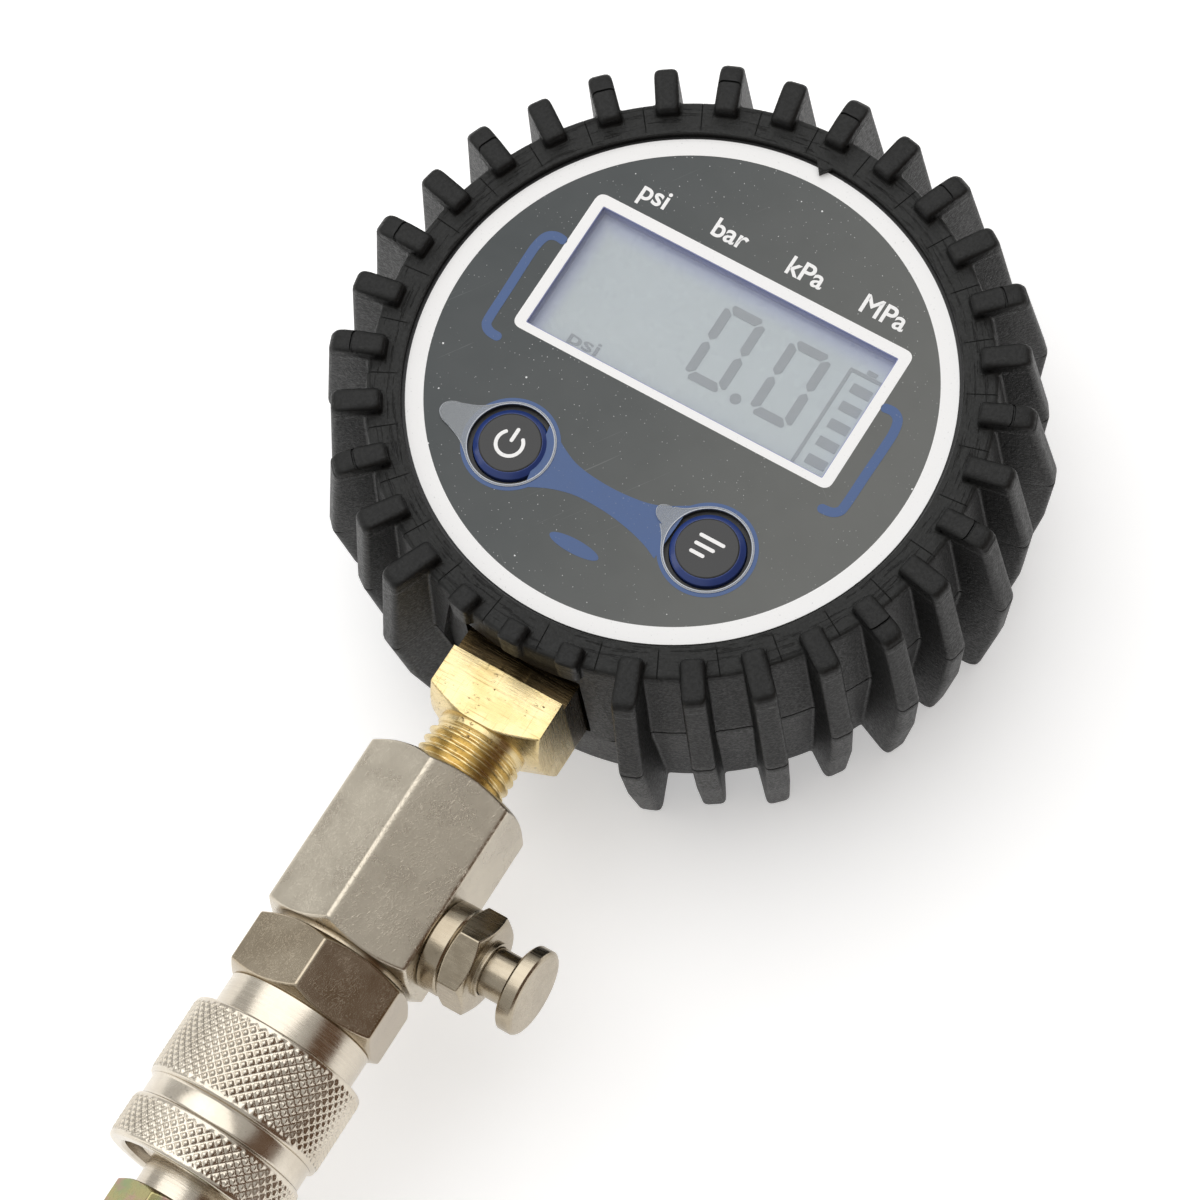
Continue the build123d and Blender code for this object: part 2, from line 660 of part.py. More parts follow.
def make_sleeve_spring():
    return stem(coil(9.2, 0.4, COLLAR_END, SLEEVE_SHOULDER, 4))


def make_retaining_ring():
    ring = rod(9.75, RING_STATION, RING_STATION + 0.8) - rod(7.62, RING_STATION, RING_STATION + 0.8)
    ring -= block(-1.2, 1.2, -11, 0, RING_STATION - 1, RING_STATION + 2)
    return stem(ring)


def make_ball(k):
    angle = radians(60 * k)
    centre = Pos(BALL_CENTRE_R * cos(angle), BALL_CENTRE_R * sin(angle), BALL_STATION)
    return stem(centre * Sphere(BALL_R))


def make_poppet():
    poppet = rod(4.5, 91.6, 93.1) + rod(2.6, 93.1, 98.6) - rod(1.7, 94.0, 98.6)
    for k in range(2):
        poppet -= Pos(0, 0, 95.4) * (Rot(0, 0, 90 * k + 45) * (Rot(0, 90, 0) * rod(0.9, -4, 4)))
    return stem(poppet)


def make_poppet_seal():
    return stem(rod(4.5, 93.1, 93.9) - rod(2.62, 93.1, 93.9))


def make_poppet_spring():
    return stem(coil(3.7, 0.3, 88.0, 91.6, 3))


def make_socket_seal():
    return stem(torus(5.4, 0.63, 101.4))


def make_plug():
    plug = turned([
        (AIRWAY_R, 98.7),
        (4.3, 98.7),
        (PLUG_NOSE_R, 99.3),
        (PLUG_NOSE_R, 104.7),
        (PLUG_R, 106.2),
        (PLUG_R, BALL_STATION - 1.8),
        (4.9, BALL_STATION - 0.7),
        (4.9, BALL_STATION + 0.7),
        (PLUG_R, BALL_STATION + 1.8),
        (PLUG_R, PLUG_END),
        (4.85, PLUG_END),
        (4.85, 129.0),
        (AIRWAY_R, 129.0),
    ])
    return stem(plug)


def make_hose_adapter():
    body = chamfered_hexagon(HOSE_AF, HOSE_TURN, PLUG_END, HOSE_END, True, True)
    body -= rod(4.87, PLUG_END, 129.7) + rod(AIRWAY_R, 129.7, 130.7)
    body -= rod(G18_TAPPED_R, 130.7, HOSE_END)
    return stem(body)


# ---- all pieces ---------------------------------------------------------------------
parts = {
    "boot": make_boot(),
    "front_case": make_front_case(),
    "rear_case": make_rear_case(),
    "case_screws": make_case_screws(),
    "battery_door": make_battery_door(),
    "battery_door_screw": make_door_screw(),
    "battery_lower": make_cell(CELL_Y[0], 1),
    "battery_upper": make_cell(CELL_Y[1], -1),
    "battery_spring_contacts": make_spring_contacts(),
    "battery_flat_contacts": make_flat_contacts(),
    "face_label": make_face_label(),
    "display_lens": make_lens(),
    "lcd_panel": make_lcd(),
    "backlight_panel": make_backlight(),
    "lcd_elastomer_strip": make_elastomer_strip(),
    "lcd_holder": make_lcd_holder(),
    "circuit_board": make_board(),
    "circuit_board_screws": make_board_screws(),
    "processor": make_processor(),
    "power_button_cap": make_button_cap(-1),
    "mode_button_cap": make_button_cap(1),
    "power_button_film": make_pull_tab(-1, 180, 9.0, 1.6),
    "mode_button_film": make_pull_tab(1, 167.6, 7.5, 1.2),
    "power_switch_body": make_switch_body(-1),
    "mode_switch_body": make_switch_body(1),
    "power_switch_stem": make_switch_stem(-1),
    "mode_switch_stem": make_switch_stem(1),
    "pressure_sensor": make_sensor(),
    "sensor_seal": make_sensor_seal(),
    "gauge_fitting": make_gauge_fitting(),
    "gauge_fitting_screws": make_fitting_screws(),
    "manifold_body": make_manifold(),
    "gauge_thread_seal": make_thread_seal(68.5, 69.5),
    "adapter_thread_seal": make_thread_seal(78.9, 79.5),
    "bleed_valve_seat": make_valve_seat(),
    "bleed_valve_nut": make_valve_nut(),
    "bleed_valve_stem": make_valve_stem(),
    "bleed_valve_knob": make_valve_knob(),
    "bleed_valve_washer": make_valve_washer(),
    "bleed_valve_spring": make_valve_spring(),
    "coupler_adapter": make_adapter(),
    "coupler_body": make_coupler_body(),
    "coupler_sleeve": make_sleeve(),
    "sleeve_spring": make_sleeve_spring(),
    "retaining_ring": make_retaining_ring(),
    "coupler_poppet": make_poppet(),
    "poppet_seal": make_poppet_seal(),
    "poppet_spring": make_poppet_spring(),
    "socket_seal": make_socket_seal(),
    "air_plug": make_plug(),
    "hose_adapter": make_hose_adapter(),
}
for number in range(BALL_COUNT):
    parts["locking_ball_%d" % (number + 1)] = make_ball(number)

os.makedirs("parts", exist_ok=True)
for name, shape in parts.items():
    solids = Compound(children=list(shape)) if isinstance(shape, list) else shape
    export_step(solids, "parts/%s.step" % name)
print(len(parts), "pieces written")
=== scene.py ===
from math import acos, cos, pi, radians, sin, sqrt

import bmesh
import bpy
import numpy as np
from mathutils import Matrix, Vector


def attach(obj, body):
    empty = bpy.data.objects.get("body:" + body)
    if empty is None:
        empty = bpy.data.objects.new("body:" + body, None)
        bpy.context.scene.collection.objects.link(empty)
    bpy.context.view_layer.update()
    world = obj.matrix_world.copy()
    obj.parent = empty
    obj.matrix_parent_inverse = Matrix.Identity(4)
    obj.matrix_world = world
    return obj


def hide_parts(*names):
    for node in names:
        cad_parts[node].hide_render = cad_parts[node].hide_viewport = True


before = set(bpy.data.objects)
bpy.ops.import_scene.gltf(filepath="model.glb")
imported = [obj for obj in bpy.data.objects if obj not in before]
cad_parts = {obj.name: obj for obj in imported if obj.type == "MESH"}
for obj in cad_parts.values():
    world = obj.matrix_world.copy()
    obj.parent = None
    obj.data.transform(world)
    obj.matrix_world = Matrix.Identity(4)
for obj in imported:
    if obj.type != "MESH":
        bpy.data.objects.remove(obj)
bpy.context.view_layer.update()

# Lengths below are millimetres in the row frame: +Z is the dial's normal, +Y is twelve
# o'clock, the stem runs along -Y and "station" is the distance along -Y.
MM = 0.001
HEAD = "head"

# ---- driving dimensions -------------------------------------------------------------
FACE_Z = 40.0
AXIS_Z = 27.25
LCD_TOP_Z = 38.1
INK = 0.03                       # thickness of a printed layer

TREADS = 32
TREAD_HALF = 1.6
BLOCK = {"half": 8.25, "front": 6.6, "back": 10.2, "start": 27.5, "end": 50.9, "end_r": 6.9,
         "step": 43.3, "drop": 2.0}
PORT_TOP = (10.5, 38.3)
PORT_SHOULDER = (13.4, 23.0)
PORT_FOOT_Z = 14.5
PORT_FOOT_R = 4.0
PORT_FLOOR_R = 40.9
PORT_GAP = 0.45

WINDOW = (22.5, 9.675)           # half sizes of the display window
WINDOW_Y = 7.575
BUTTON_X = 14.92
BUTTON_Y = -17.88
CAP_TOP_Z = 40.53
MOAT_R = 5.65

THREAD_PITCH = 1.337             # G1/4
THREAD_R = 6.56
THREAD_ROOT_R = 5.78
THREAD_SPAN = (52.0, 66.0)
CHAMFER_SLOPE = 0.52             # height of a turned chamfer over its width
EDGE_R = 0.12                    # radius of a machined edge

VALVE_STATION = 76.8
VALVE_TURN = 86.0
VALVE_FACE = 10.5


# ---- mesh helpers -------------------------------------------------------------------
class Axis:
    """Cylindrical coordinates about a line: radius, angle from `up` towards `side`, distance along."""

    def __init__(self, origin, along, up):
        self.origin = np.array(origin, float)
        self.along = np.array(along, float)
        self.up = np.array(up, float)
        self.side = np.cross(self.up, self.along)

    def points(self, radius, angle, distance):
        radius, angle, distance = np.broadcast_arrays(radius, angle, distance)
        across = np.cos(angle)[..., None] * self.up + np.sin(angle)[..., None] * self.side
        return self.origin + radius[..., None] * across + distance[..., None] * self.along


VALVE_DIR = (sin(radians(VALVE_TURN)), 0.0, cos(radians(VALVE_TURN)))
STEM = Axis((0, 0, AXIS_Z), (0, -1, 0), (0, 0, 1))
VALVE = Axis((0, -VALVE_STATION, AXIS_Z), VALVE_DIR, np.cross(VALVE_DIR, (0, -1, 0)))


class Shape:
    """Collects closed shells in millimetres and turns them into one Blender object."""

    def __init__(self):
        self.points = []
        self.faces = []
        self.parts = []
        self.count = 0

    def add(self, points, faces, part=0):
        points = np.asarray(points, float).reshape(-1, 3)
        self.faces += [tuple(int(i) + self.count for i in face) for face in faces]
        self.parts += [part] * len(faces)
        self.points.append(points)
        self.count += len(points)

    def loft(self, rings, joined=False, part=0):
        """Skin through closed rings, an array of (ring, point, xyz); open ends get flat caps."""
        rows, columns = rings.shape[:2]
        faces = []
        for i in range(rows if joined else rows - 1):
            here, there = i * columns, ((i + 1) % rows) * columns
            for j in range(columns):
                k = (j + 1) % columns
                faces.append((here + j, here + k, there + k, there + j))
        if not joined:
            faces.append(tuple(range(columns)))
            faces.append(tuple(range((rows - 1) * columns, rows * columns)))
        self.add(rings, faces, part)

    def plate(self, outline, z0, z1, part=0):
        """Thin plate with a flat outline, given as (x, y) points in order."""
        flat = np.array(outline, float)
        rings = np.stack([np.column_stack([flat, np.full(len(flat), z)]) for z in (z0, z1)])
        self.loft(rings, part=part)

    def band(self, outer, inner, z0, z1, part=0):
        """Flat band between two outlines that have the same number of points."""
        rings = []
        for outline, z in ((outer, z0), (outer, z1), (inner, z1), (inner, z0)):
            rings.append(np.column_stack([np.array(outline, float), np.full(len(outline), z)]))
        self.loft(np.stack(rings), joined=True, part=part)

    def strip(self, edge_a, edge_b, z0, z1, part=0):
        """Flat strip between two edges that have the same number of points."""
        rings = []
        for (ax, ay), (bx, by) in zip(edge_a, edge_b):
            rings.append([(ax, ay, z0), (ax, ay, z1), (bx, by, z1), (bx, by, z0)])
        self.loft(np.array(rings), part=part)

    def stroke(self, points, width, z0, z1, part=0):
        """Pen stroke with round ends along a list of (x, y) points."""
        line = np.array(points, float)
        run = np.concatenate([[0], np.cumsum(np.linalg.norm(np.diff(line, axis=0), axis=1))])
        half = width / 2
        tip = half * (1 - np.cos(np.linspace(0.15, pi / 2, 7)))
        middle = np.linspace(half, run[-1] - half, max(3, int(run[-1] / 0.25)))[1:-1]
        at = np.concatenate([tip, middle, run[-1] - tip[::-1]])
        line = np.column_stack([np.interp(at, run, line[:, k]) for k in (0, 1)])
        heading = np.gradient(line, axis=0)
        heading /= np.linalg.norm(heading, axis=1)[:, None]
        inset = np.minimum(np.minimum(at, run[-1] - at), half)
        reach = np.sqrt(half ** 2 - (half - inset) ** 2)[:, None]
        left = np.column_stack([-heading[:, 1], heading[:, 0]]) * reach
        self.strip(line + left, line - left, z0, z1, part)

    def mesh(self, name, looks=()):
        """Blender mesh of the shells with every face pointing outwards."""
        mesh = bpy.data.meshes.new(name)
        mesh.from_pydata((np.concatenate(self.points) * MM).tolist(), [], self.faces)
        for look in looks:
            mesh.materials.append(look)
        mesh.polygons.foreach_set("material_index", self.parts)
        shell = bmesh.new()
        shell.from_mesh(mesh)
        bmesh.ops.recalc_face_normals(shell, faces=shell.faces)
        shell.to_mesh(mesh)
        shell.free()
        return mesh

    def make(self, name, looks, body, replaced=(), angle=35.0):
        mesh = self.mesh(name, looks if isinstance(looks, list) else [looks])
        smooth(mesh, angle)
        piece = put(name, mesh)
        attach(piece, body)
        if replaced:
            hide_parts(*replaced)
        return piece


def put(name, data):
    """New object of the scene with the given data."""
    made = bpy.data.objects.new(name, data)
    bpy.context.scene.collection.objects.link(made)
    return made


def smooth(mesh, angle):
    """Smooth shading that keeps the edges sharper than `angle`."""
    mesh.polygons.foreach_set("use_smooth", [True] * len(mesh.polygons))
    mesh.set_sharp_from_angle(angle=radians(angle))


def machined(name, look, body, node, shells, joined=True, angle=35.0):
    """One piece from lofted shells, each an array of rings."""
    shape = Shape()
    for rings in shells:
        shape.loft(rings, joined)
    return shape.make(name, LOOKS[look], body, [node], angle)


def rounded(points, radius, steps=4, closed=True):
    """Replace the corners of a polyline by arcs of `radius`, or smaller where a side is short."""
    flat = [np.array(p, float) for p in points]
    total = len(flat)
    result = []
    for i, here in enumerate(flat):
        if not closed and i in (0, total - 1):
            result.append(here)
            continue
        before, after = flat[i - 1] - here, flat[(i + 1) % total] - here
        long_a, long_b = np.linalg.norm(before), np.linalg.norm(after)
        before, after = before / long_a, after / long_b
        half = acos(float(np.clip(before @ after, -1, 1))) / 2
        if half > radians(87):
            result.append(here)
            continue
        cut = min(radius / np.tan(half), 0.45 * long_a, 0.45 * long_b)
        start, end = here + before * cut, here + after * cut
        for k in range(steps + 1):
            t = k / steps
            result.append((1 - t) ** 2 * start + 2 * t * (1 - t) * here + t ** 2 * end)
    return np.array(result)


def rectangle(half_x, half_y, centre_y=0.0, radius=0.5, steps=6):
    corners = [(-half_x, -half_y), (half_x, -half_y), (half_x, half_y), (-half_x, half_y)]
    return rounded([(x, y + centre_y) for x, y in corners], radius, steps)


def circle(radius, centre=(0.0, 0.0), count=96, squash=1.0):
    angles = np.linspace(0, 2 * pi, count, endpoint=False)
    return np.column_stack([centre[0] + radius * np.cos(angles),
                            centre[1] + radius * squash * np.sin(angles)])


def flowing(points, steps=8):
    """Smooth curve through points (Catmull-Rom)."""
    flat = np.array(points, float)
    flat = np.vstack([2 * flat[0] - flat[1], flat, 2 * flat[-1] - flat[-2]])
    result = []
    for i in range(1, len(flat) - 2):
        a, b, c, d = flat[i - 1:i + 3]
        for k in range(steps):
            t = k / steps
            bend = (2 * a - 5 * b + 4 * c - d) * t ** 2 + (3 * b - a - 3 * c + d) * t ** 3
            result.append(0.5 * (2 * b + (c - a) * t + bend))
    result.append(flat[-2])
    return np.array(result)


def lathe(axis, profile, radius=0.12, count=144, closed=True):
    """Rings of a turned piece from (radius, distance) points, with its corners rounded."""
    path = rounded(profile, radius, 4, closed)
    angles = np.linspace(0, 2 * pi, count, endpoint=False)
    return axis.points(path[:, 0][:, None], angles[None, :], path[:, 1][:, None])


def smooth_least(a, b, power=90.0):
    """The smaller of two positive values, with the corner between them eased."""
    return (a ** -power + b ** -power) ** (-1 / power)


def flats_radius(angles, flats, power=150.0):
    """Radius of a prism with flats given as (distance, normal angle in degrees)."""
    total = 0.0
    for distance, turn in flats:
        total = total + (np.maximum(np.cos(angles - radians(turn)), 1e-6) / distance) ** power
    return total ** (-1 / power)


def angles_with_corners(corners, per_side=40, pull=0.2):
    """Angles right round, closer together near the given corner angles in degrees."""
    corners = sorted(c % 360 for c in corners)
    result = []
    for i, start in enumerate(corners):
        end = corners[(i + 1) % len(corners)] + (360 if i == len(corners) - 1 else 0)
        t = np.linspace(-1, 1, per_side, endpoint=False)
        result.append((start + end) / 2 + (end - start) / 2 * (t + pull * np.sin(pi * t)))
    return np.radians(np.concatenate(result))


def turned_prism(axis, flats, corners, start, end, end_r, hole_r, power, both=True, extra=()):
    """Rings of a prism whose ends are turned down to `end_r`, round a hole."""
    angles = angles_with_corners(corners)
    near = np.concatenate([[0, 0.02, 0.06, 0.12], np.linspace(0.2, 3.0, 26)])
    if end - start < 7:
        near, middle = near[:4], np.linspace(start + 0.2, end - 0.2, 44)
    else:
        middle = np.linspace(start + 3.3, end - 3.3, 9)
    distance = np.sort(np.concatenate([start + near, middle, end - near[::-1], extra]))
    sides = flats_radius(angles, flats, power)[None, :]
    gap_start = (distance - start if both else distance - start + 50)[:, None]
    gap_end = (end - distance)[:, None]
    cone = np.minimum(gap_start, gap_end) / CHAMFER_SLOPE + end_r
    ease = np.minimum(np.minimum(distance - start, end - distance), EDGE_R)[:, None]
    eased = EDGE_R - np.sqrt(np.maximum(EDGE_R ** 2 - (EDGE_R - ease) ** 2, 0))
    outer = axis.points(smooth_least(sides, cone) - eased, angles[None, :], distance[:, None])
    mouth = 0.4
    hole = np.array([[hole_r + mouth, end], [hole_r, end - mouth],
                     [hole_r, start + mouth], [hole_r + mouth, start]])
    inner = axis.points(hole[:, 0][:, None], angles[None, :], hole[:, 1][:, None])
    return np.concatenate([outer, inner])


def hexagon_flats(across_flats, turn):
    return [(across_flats / 2, turn + 60 * k) for k in range(6)]


def hexagon_rings(axis, across_flats, turn, start, end, hole_r, power=150.0):
    corners = [turn + 30 + 60 * k for k in range(6)]
    flats = hexagon_flats(across_flats, turn)
    return turned_prism(axis, flats, corners, start, end, across_flats / 2 - 0.2, hole_r, power)


# ---- material helpers ---------------------------------------------------------------
class Nodes:
    """A node tree. Each method adds nodes and returns the output to feed onwards."""

    def __init__(self, tree):
        self.tree = tree

    def feed(self, socket, value):
        if isinstance(value, bpy.types.NodeSocket):
            self.tree.links.new(value, socket)
        else:
            socket.default_value = value

    def node(self, kind, settings, feeds):
        made = self.tree.nodes.new("ShaderNode" + kind)
        for key, value in settings.items():
            setattr(made, key, value)
        for key, value in feeds.items():
            self.feed(made.inputs[key], value)
        return made

    def calc(self, operation, a, b=0.0):
        return self.node("Math", {"operation": operation}, {0: a, 1: b}).outputs[0]

    def product(self, a, b):
        return self.calc("MULTIPLY", a, b)

    def between(self, value, low, high, to_low=0.0, to_high=1.0):
        """The value's range from low to high carried smoothly over to another range."""
        feeds = {"Value": value, "From Min": low, "From Max": high, "To Min": to_low, "To Max": to_high}
        return self.node("MapRange", {"interpolation_type": "SMOOTHSTEP"}, feeds).outputs[0]

    def mix(self, factor, a, b):
        a, b = (tone if isinstance(tone, bpy.types.NodeSocket) else (*tone, 1.0) for tone in (a, b))
        return self.node("Mix", {"data_type": "RGBA"}, {0: factor, 6: a, 7: b}).outputs[2]


class Look(Nodes):
    """A node material built on the object's own coordinates."""

    def __init__(self, name):
        self.material = bpy.data.materials.new(name)
        self.material.use_nodes = True
        super().__init__(self.material.node_tree)
        self.shader = self.tree.nodes["Principled BSDF"]
        self.place = self.tree.nodes.new("ShaderNodeTexCoord").outputs["Object"]

    def stretched(self, scale, turn=(0.0, 0.0, 0.0)):
        """The object's coordinates turned, then scaled along each axis."""
        if any(turn):
            feeds = {"Vector": self.place, "Rotation": turn}
            source = self.node("VectorRotate", {"rotation_type": "EULER_XYZ"}, feeds).outputs[0]
        else:
            source = self.place
        return self.node("Mapping", {}, {"Vector": source, "Scale": scale}).outputs[0]

    def noise(self, scale, detail=4.0, roughness=0.55, place=None):
        feeds = {"Vector": place or self.place, "Scale": scale, "Detail": detail, "Roughness": roughness}
        return self.node("TexNoise", {}, feeds).outputs[0]

    def specks(self, scale, share, size):
        """Round dots of up to `size` cells on a flat face, in `share` of the cells of a grid."""
        feeds = {"Vector": self.place, "Scale": scale}
        cells = self.node("TexVoronoi", {"voronoi_dimensions": "2D"}, feeds).outputs
        chance = self.node("SeparateColor", {}, {0: cells["Color"]}).outputs[0]
        reach = self.between(chance, 1.0 - share, 1.0, 0.0, size)
        return self.calc("LESS_THAN", cells["Distance"], reach)

    def tint(self, colour, mask, share, over):
        """The colour with `over` laid on it at `share` strength where the mask is."""
        return self.mix(self.product(mask, share), colour, over)

    def bump(self, height, distance, below=None, strength=1.0):
        feeds = {"Height": height, "Distance": distance * MM, "Strength": strength}
        if below:
            feeds["Normal"] = below
        return self.node("Bump", {}, feeds).outputs[0]

    def axes(self):
        return self.node("SeparateXYZ", {}, {0: self.place}).outputs

    def scratches(self, turn, along=30.0, across=2200.0, threshold=0.66):
        """Sparse hairlines: thin noise stretched along one direction and broken up."""
        line = self.noise(1.0, 2.0, 0.5, self.stretched((across, along, across), turn))
        where = self.noise(160.0, 3.0, 0.6, self.stretched((1.0, 1.0, 1.0), turn))
        lines = self.between(line, threshold, threshold + 0.05)
        return self.product(lines, self.between(where, 0.45, 0.6))

    def done(self, colour, roughness, normal=None, **constants):
        self.feed(self.shader.inputs["Base Color"], colour)
        self.feed(self.shader.inputs["Roughness"], roughness)
        if normal:
            self.feed(self.shader.inputs["Normal"], normal)
        for key, value in constants.items():
            self.shader.inputs[key.replace("_", " ")].default_value = value
        return self.material


# ---- materials ----------------------------------------------------------------------
def rubber_look():
    """Black moulded rubber: pebbled, with flow lines round the lip that are painted paler as highlights, and
    pale dust.
    """
    look = Look("boot_rubber")
    x, y, z = look.axes()
    angle = look.calc("ARCTAN2", y, x)
    radius = look.calc("SQRT", look.calc("ADD", look.product(x, x), look.product(y, y)))
    polar = look.node("CombineXYZ", {}, {0: look.product(angle, 0.003), 1: radius, 2: z}).outputs[0]
    on_lip = look.product(look.between(z, 0.0404, 0.0407), look.between(z, 0.0411, 0.0414, 1.0, 0.0))
    # The lip's flow lines are real in the bump and painted paler in the colour as painted highlights.
    flow_lines_and_highlights = look.product(look.noise(3600.0, 4.0, 0.65, polar), on_lip)
    cuts = look.product(look.between(look.noise(2600.0, 3.0, 0.6, polar), 0.58, 0.66), on_lip)
    grain = look.noise(2300.0, 3.0, 0.7)
    patches = look.noise(130.0, 5.0, 0.6)
    dust = look.between(look.noise(1700.0, 4.0, 0.75), 0.58, 0.72)
    dark = look.mix(patches, (0.0050, 0.0052, 0.0052), (0.0115, 0.0118, 0.0115))
    colour = look.tint(dark, dust, 0.35, (0.040, 0.041, 0.038))
    colour = look.tint(colour, flow_lines_and_highlights, 0.35, (0.045, 0.047, 0.045))
    colour = look.tint(colour, cuts, 0.75, (0.003, 0.003, 0.003))
    rough = look.between(grain, 0.35, 0.65, 0.38, 0.56)
    normal = look.bump(grain, 0.11, strength=0.8)
    normal = look.bump(flow_lines_and_highlights, 0.14, normal, 0.6)
    normal = look.bump(cuts, -0.12, normal, 0.6)
    normal = look.bump(patches, 0.25, normal, 0.4)
    return look.done(colour, rough, normal, Specular_IOR_Level=0.27)


def label_look():
    """Slate printed film under a clear coat, with white dust, hairline scratches and painted light that makes
    it paler towards +X.
    """
    look = Look("label_film")
    patches = look.noise(70.0, 4.0, 0.55)
    # Painted light: the film is made paler towards +X, as if lit more from that side.
    painted_light_sweep = look.between(look.axes()[0], -0.03, 0.034)
    cloud = look.mix(patches, (0.018, 0.028, 0.031), (0.042, 0.048, 0.049))
    base = look.tint(cloud, painted_light_sweep, 0.75, (0.120, 0.122, 0.112))
    crowd = look.between(look.noise(45.0, 2.0, 0.5), 0.35, 0.65, 0.25, 1.0)
    fine = look.product(look.specks(1500.0, 0.22, 0.11), crowd)
    colour = look.tint(base, fine, 0.8, (0.55, 0.56, 0.56))
    colour = look.tint(colour, look.specks(330.0, 0.08, 0.045), 0.9, (0.85, 0.86, 0.86))
    marks = look.calc("MAXIMUM", look.scratches((0, 0, 0.6), 30.0, 3200.0, 0.70),
                     look.scratches((0, 0, -0.9), 40.0, 3000.0, 0.73))
    colour = look.tint(colour, marks, 0.35, (0.22, 0.23, 0.23))
    rough = look.between(look.noise(240.0, 4.0, 0.6), 0.3, 0.7, 0.28, 0.38)
    normal = look.bump(look.noise(1900.0, 2.0, 0.5), 0.01, strength=0.4)
    return look.done(colour, rough, normal, Specular_IOR_Level=0.5)


def ink_look(name, pale, deep, rough):
    look = Look(name)
    cloud = look.noise(180.0, 5.0, 0.6)
    speck = look.between(look.noise(2600.0, 2.0, 0.5), 0.66, 0.74)
    colour = look.tint(look.mix(cloud, pale, deep), speck, 0.25, (0.35, 0.36, 0.37))
    normal = look.bump(look.noise(2400.0, 3.0, 0.6), 0.012, strength=0.5)
    return look.done(colour, look.between(cloud, 0.3, 0.7, rough, rough + 0.1), normal)


def lcd_look():
    """Grey-blue display with violet light leaking in along the top and left edges, painted paler towards the
    bottom and with a painted shadow line under the top edge.
    """
    look = Look("lcd_glass")
    x, y, _ = look.axes()
    left, top = -WINDOW[0] * MM, (WINDOW_Y + WINDOW[1]) * MM
    grey = look.mix(look.noise(90.0, 3.0, 0.5), (0.42, 0.475, 0.495), (0.475, 0.53, 0.545))
    # Painted shading: paler from 6 mm below the window's top edge downwards, so darker under the top edge.
    lower = look.between(y, top - 0.022, top - 0.006, 1.0, 0.0)
    grey = look.tint(grey, lower, 0.35, (0.52, 0.57, 0.56))
    from_top = look.between(y, top - 0.0036, top - 0.0002)
    from_left = look.between(x, left + 0.0002, left + 0.0030, 1.0, 0.0)
    leak = look.product(look.calc("MAXIMUM", from_top, from_left), 0.5)
    violet = look.mix(leak, grey, (0.27, 0.31, 0.60))
    # Painted shadow: a darker band just under the window's top edge.
    edge = look.between(y, top - 0.0009, top - 0.0004)
    colour = look.tint(violet, edge, 0.3, (0.18, 0.20, 0.40))
    normal = look.bump(look.noise(1500.0, 2.0, 0.5), 0.004, strength=0.4)
    return look.done(colour, look.between(look.noise(300.0), 0.3, 0.7, 0.22, 0.32), normal)


def segment_look():
    look = Look("lcd_segment")
    colour = look.mix(look.noise(350.0), (0.215, 0.24, 0.255), (0.26, 0.285, 0.30))
    normal = look.bump(look.noise(1500.0), 0.004, strength=0.4)
    return look.done(colour, look.between(look.noise(300.0), 0.3, 0.7, 0.3, 0.4), normal)


def clear_look(name, tint, alpha, rough):
    look = Look(name)
    smear = look.noise(150.0, 5.0, 0.6)
    colour = look.mix(smear, tint, tuple(min(1.0, 1.15 * c) for c in tint))
    marks = look.scratches((0, 0, -0.5), 30.0, 2400.0, 0.74)
    normal = look.bump(marks, 0.01, look.bump(smear, 0.02, strength=0.15), 0.4)
    level = look.between(smear, 0.3, 0.7, rough, rough + 0.06)
    return look.done(colour, level, normal, Alpha=alpha, IOR=1.49)


def plastic_look(name, low, high, rough, grain=0.02, scale=3500.0):
    """Moulded plastic: clouded colour, a fine pebble and a few rub marks."""
    look = Look(name)
    cloud = look.noise(110.0, 5.0, 0.6)
    pebble = look.noise(scale, 2.0, 0.5)
    rubbed = look.scratches((0, 0, 0.9), 40.0, 1800.0, 0.7)
    colour = look.mix(cloud, low, high)
    brighter = tuple(min(1.0, 1.7 * c + 0.01) for c in high)
    colour = look.tint(colour, rubbed, 0.3, brighter)
    normal = look.bump(pebble, grain, strength=0.7)
    return look.done(colour, look.between(cloud, 0.3, 0.7, rough, rough + 0.1), normal)


def metal_look(name, low, high, rough, brushed=None, dents=0.0, dirt=0.35):
    """Metal with a clouded tone, hairline marks, optional brushing round an axis and dents."""
    look = Look(name)
    cloud = look.noise(140.0, 5.0, 0.65)
    tone = look.mix(look.between(cloud, 0.32, 0.68), low, high)
    pits = look.between(look.noise(850.0, 4.0, 0.7), 0.66, 0.76)
    colour = look.tint(tone, pits, dirt, (0.05, 0.04, 0.03))
    level = look.between(cloud, 0.3, 0.7, rough, rough + 0.09)
    normal = look.bump(look.noise(2600.0, 3.0, 0.6), 0.012, strength=0.5)
    if brushed:
        lines = look.noise(1.0, 3.0, 0.65, look.stretched(brushed))
        normal = look.bump(lines, 0.02, normal, 0.5)
        level = look.calc("ADD", level, look.between(lines, 0.3, 0.7, -0.05, 0.06))
    if dents:
        nicks = look.scratches((0.3, 0.2, 0.7), 900.0, 5200.0, 0.60)
        for turn in ((0.1, 0.4, -0.8), (0.7, -0.3, 0.1), (-0.5, 0.2, 1.4)):
            nicks = look.calc("MAXIMUM", nicks, look.scratches(turn, 1000.0, 5600.0, 0.61))
        hair = look.scratches((0.2, 0.5, 0.4), 90.0, 4200.0, 0.64)
        marks = look.calc("MAXIMUM", nicks, hair)
        normal = look.bump(marks, dents, normal, 0.9)
        bright = tuple(min(1.0, 1.4 * c) for c in high)
        colour = look.tint(colour, marks, 6.0 * dents, bright)
    return look.done(colour, level, normal, Metallic=1.0)


